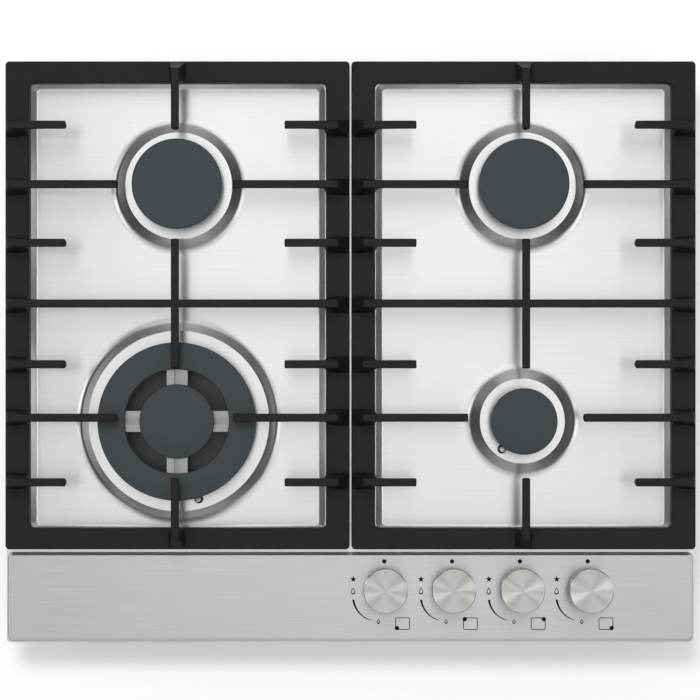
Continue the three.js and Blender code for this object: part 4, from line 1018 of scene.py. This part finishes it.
# Places of the marks from the middle of their knob, and their sizes
OFF_DOT = (-0.6, 24.0)
SPARK_STAR = (-27.6, 8.4)
LARGE_FLAME = (-27.7, -1.7)
SMALL_FLAME = (-5.8, -28.2)
FLOW_ARC = (-6.5, -6.7)
FLOW_ARC_RADIUS = 21.2
FLOW_ARC_DEGREES = (187, 255)
FLOW_ARC_WIDTHS = (1.9, 0.5)
BURNER_BOX = (15.3, -30.2)
BURNER_DOT = (4.9, 3.9)
DOT_RADIUS = 1.9
STAR_RADIUS = 3.0


def flat_mark(shape, outline, holes=()):
    """A thin flat mark with straight sides on the panel."""
    tops = [shape.loop((x, y, panel_top + MARK_TOP) for x, y in line) for line in (outline, *holes)]
    feet = [shape.loop((x, y, panel_top + MARK_BOTTOM) for x, y in line) for line in (outline, *holes)]
    shape.fill(tops)
    shape.fill(feet)
    for top, foot in zip(tops, feet):
        shape.band(top, foot)


def dot_outline(x, y, radius, steps=28):
    return [(place[0], place[1]) for place in circle(radius, 0, (x, y), steps)]


def star_outline(x, y, radius):
    places = []
    for index in range(10):
        reach = radius if index % 2 == 0 else radius * 0.42
        angle = math.pi / 2 + index * math.pi / 5
        places.append((x + reach * math.cos(angle), y + reach * math.sin(angle)))
    return places


def flame_outline(x, y, width, height, steps=24):
    """A drop with its point up."""
    places = []
    for index in range(steps):
        angle = 2 * math.pi * index / steps
        share = (1 + math.cos(angle)) / 2
        places.append((
            x + width / 2 * math.sin(angle) * (1 - share ** 2.2),
            y - height / 2 + height * share,
        ))
    return places


def arc_outline(x, y, radius, start, end, thick, thin, steps=28):
    outer, inner = [], []
    for index in range(steps + 1):
        share = index / steps
        angle = math.radians(start + (end - start) * share)
        half = (thick + (thin - thick) * share) / 2
        outer.append((x + (radius + half) * math.cos(angle), y + (radius + half) * math.sin(angle)))
        inner.append((x + (radius - half) * math.cos(angle), y + (radius - half) * math.sin(angle)))
    return outer + inner[::-1]


def frame_outline(x, y, width, height, radius):
    return [(place[0], place[1]) for place in rectangle_loop(
        x - width / 2, x + width / 2, y - height / 2, y + height / 2, radius, 0)]


def beside(place, offset):
    return (place[0] + offset[0], place[1] + offset[1])


def add_panel_marks():
    """Off, spark, large and small flame round each knob, and a square whose dot names the burner."""
    shape = Shape()
    corners = {1: (-1, -1), 2: (-1, 1), 3: (1, 1), 4: (1, -1)}
    for number, knob in knob_places.items():
        flat_mark(shape, dot_outline(*beside(knob, OFF_DOT), DOT_RADIUS))
        flat_mark(shape, star_outline(*beside(knob, SPARK_STAR), STAR_RADIUS))
        flame = beside(knob, LARGE_FLAME)
        flat_mark(shape, flame_outline(*flame, 4.6, 6.4), [flame_outline(*flame, 2.9, 4.2)])
        flat_mark(shape, arc_outline(
            *beside(knob, FLOW_ARC), FLOW_ARC_RADIUS, *FLOW_ARC_DEGREES, *FLOW_ARC_WIDTHS))
        flame = beside(knob, SMALL_FLAME)
        flat_mark(shape, flame_outline(*flame, 3.5, 4.4), [flame_outline(*flame, 1.9, 2.3)])
        box = beside(knob, BURNER_BOX)
        flat_mark(shape, frame_outline(*box, 12.8, 10.7, 1.4), [frame_outline(*box, 11.4, 9.3, 0.8)])
        side_x, side_y = corners[number]
        dot = beside(box, (side_x * BURNER_DOT[0], side_y * BURNER_DOT[1]))
        flat_mark(shape, dot_outline(*dot, DOT_RADIUS))
    mesh = mesh_of("panel_marks", shape, (panel_ink,))
    add_piece("panel_marks", mesh, "root")


# ---- Studio ----

PHOTO_WIDTH = 700
SENSOR = 36.0
CAMERA = (-0.44, -24.1, 1344.0)  # straight above the plate, in millimetres
CAMERA_SHIFT = 30 / PHOTO_WIDTH  # the photograph's middle lies this far behind the point below the camera
WELL_SCALE = 0.8776  # millimetres that one pixel of the photograph shows on the wells' floors
FLOOR_REACH = 6000.0
FLOOR_LIFT = 0.24  # keeps the floor white in the picture without washing out the shadow
WORLD_LIGHT = 0.55  # what the surroundings give as light, and how bright they look in a mirror
WORLD_SEEN = 1.12
CARD_REACH = 1800.0
LOW_CARD_TOP = 1000
BRIGHT_CARD_FOOT = 1500
HIGH_CARD_TOP = 5200


def add_camera():
    data = bpy.data.cameras.new("camera")
    camera = bpy.data.objects.new("camera", data)
    bpy.context.scene.collection.objects.link(camera)
    camera.location = Vector(CAMERA) * MM
    data.sensor_width = SENSOR
    data.lens = (CAMERA[2] - well_floor) * SENSOR / (PHOTO_WIDTH * WELL_SCALE)
    data.shift_y = CAMERA_SHIFT
    data.clip_end = 50
    bpy.context.scene.camera = camera


def add_floor():
    shape = Shape()
    corners = ((-1, -1), (1, -1), (1, 1), (-1, 1))
    shape.face(shape.loop((x * FLOOR_REACH, y * FLOOR_REACH, 0) for x, y in corners))
    material, tree, shader = new_finish("white_floor", {
        "Base Color": linear("#f4f4f4"), "Roughness": 0.9, "Specular IOR Level": 0.1,
        "Emission Color": (1, 1, 1, 1)})
    path = add_node(tree, "ShaderNodeLightPath")
    seen = add_node(tree, "ShaderNodeMath", {"operation": "MAXIMUM"}, {
        0: path.outputs["Is Camera Ray"], 1: path.outputs["Is Glossy Ray"]})
    lift = add_node(tree, "ShaderNodeMath", {"operation": "MULTIPLY", 1: FLOOR_LIFT}, {0: seen.outputs[0]})
    tree.links.new(lift.outputs[0], shader.inputs["Emission Strength"])
    mesh = mesh_of("floor", shape, (material,))
    floor = bpy.data.objects.new("floor", mesh)
    bpy.context.scene.collection.objects.link(floor)


def add_world():
    world = bpy.data.worlds.new("studio")
    bpy.context.scene.world = world
    world.use_nodes = True
    tree = world.node_tree
    tree.nodes.clear()
    path = add_node(tree, "ShaderNodeLightPath")
    first = add_node(tree, "ShaderNodeMath", {"operation": "MAXIMUM"}, {
        0: path.outputs["Is Camera Ray"], 1: path.outputs["Is Glossy Ray"]})
    seen = add_node(tree, "ShaderNodeMath", {"operation": "MAXIMUM"}, {
        0: first.outputs[0], 1: path.outputs["Is Transmission Ray"]})
    strength = add_node(tree, "ShaderNodeMapRange", {"To Min": WORLD_LIGHT, "To Max": WORLD_SEEN}, {
        "Value": seen.outputs[0]})
    background = add_node(tree, "ShaderNodeBackground", {"Color": (1, 1, 1, 1)}, {
        "Strength": strength.outputs[0]})
    add_node(tree, "ShaderNodeOutputWorld", links={"Surface": background.outputs[0]})


def add_card(name, corners, colour, glow=0.0):
    """A studio card that only the gloss of the object shows, and that throws no shadow."""
    shape = Shape()
    shape.face(shape.loop(corners))
    material, _, _ = new_finish(f"{name}_card", {
        "Base Color": linear(colour), "Roughness": 1.0, "Specular IOR Level": 0.0,
        "Emission Color": (1, 1, 1, 1), "Emission Strength": glow})
    card = bpy.data.objects.new(name, mesh_of(name, shape, (material,)))
    bpy.context.scene.collection.objects.link(card)
    for seen in ("camera", "diffuse", "transmission", "shadow", "volume_scatter"):
        setattr(card, f"visible_{seen}", False)


def add_upright_card(name, middle_degrees, width_degrees, bottom, top, colour, glow=0.0):
    ends = [math.radians(middle_degrees + side * width_degrees / 2) for side in (-1, 1)]
    feet = [(CARD_REACH * math.cos(angle), CARD_REACH * math.sin(angle)) for angle in ends]
    add_card(name, [(*feet[0], bottom), (*feet[1], bottom), (*feet[1], top), (*feet[0], top)], colour, glow)


def add_cards():
    """Low dark cards give the pressed slopes their dark bands. Those higher up shape the knobs' fans.

    The front card takes a little brightness from the front of the steel.
    """
    for index in range(24):
        add_upright_card(f"low_card_{index}", index * 15, 15.4, 0, LOW_CARD_TOP, "#101010")
    for index, middle in enumerate((24, 142, 202, 324)):
        add_upright_card(f"side_card_{index}", middle, 28, LOW_CARD_TOP, HIGH_CARD_TOP, "#0c0c0c")
    for index, middle in enumerate((-7, 173)):
        add_upright_card(
            f"bright_card_{index}", middle, 15, BRIGHT_CARD_FOOT, HIGH_CARD_TOP, "#ffffff", 3.0)
    add_card("front_card", [
        (-2400, -2600, 1900), (2400, -2600, 1900), (2400, -420, 1900), (-2400, -420, 1900),
    ], "#e0e0e2", 0.1)


def add_lamp(name, place, power, size):
    """A softbox that gives light and shows in nothing. Its place and size are in metres."""
    data = bpy.data.lights.new(name, "AREA")
    data.shape = "RECTANGLE"
    data.size, data.size_y = size
    data.energy = power
    lamp = bpy.data.objects.new(name, data)
    bpy.context.scene.collection.objects.link(lamp)
    lamp.location = place
    lamp.rotation_euler = (-Vector(place)).to_track_quat("-Z", "Y").to_euler()
    lamp.visible_glossy = False
    lamp.visible_camera = False


# ---- The whole cooktop ----

add_camera()
add_floor()
add_world()
add_cards()
add_lamp("key_softbox", (-0.3, 0.9, 2.0), 20, (0.7, 0.5))

add_top_plate()
for name, side in (("left", -1), ("right", 1)):
    add_pan_support(name, side)
    for number in range(1, 5):
        add_support_foot(f"support_foot_{name}_{number}", f"{name}_support")
for name in BURNERS:
    add_crown(name)
    add_igniter(name)
    cap = f"burner_cap_{name}"
    cap_low, _ = box_mm(cap)
    dome = WOK_CENTRE_DOME if name == "wok" else CAP_DOME
    add_cap(name, radius_of(cap), cap_low.z + CAP_LIP, dome, f"cap_{name}", cap)
add_wok_ring_cap()
for number in KNOBS:
    add_knob(number)
add_panel_marks()

NODE_FINISHES = {
    "worktop_seal": foam,
    "bottom_tray": galvanised,
    "worktop_clamp": zinc_plate,
    "burner_cup": darker_casting,
    "tap_spindle": brass,
    "gas_tap": cast_aluminium,
    "tap_plug": brass,
    "gas_manifold": zinc_pipe,
    "gas_inlet": brass,
    "gas_tube": drawn_tube,
    "ignition_module": plastic,
    "ignition_harness": silicone,
    "mains_gland": plastic,
}
for name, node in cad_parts.items():
    for start, finish in NODE_FINISHES.items():
        if name.startswith(start):
            node.data.materials.clear()
            node.data.materials.append(finish)

bpy.context.scene.view_settings.view_transform = "Standard"
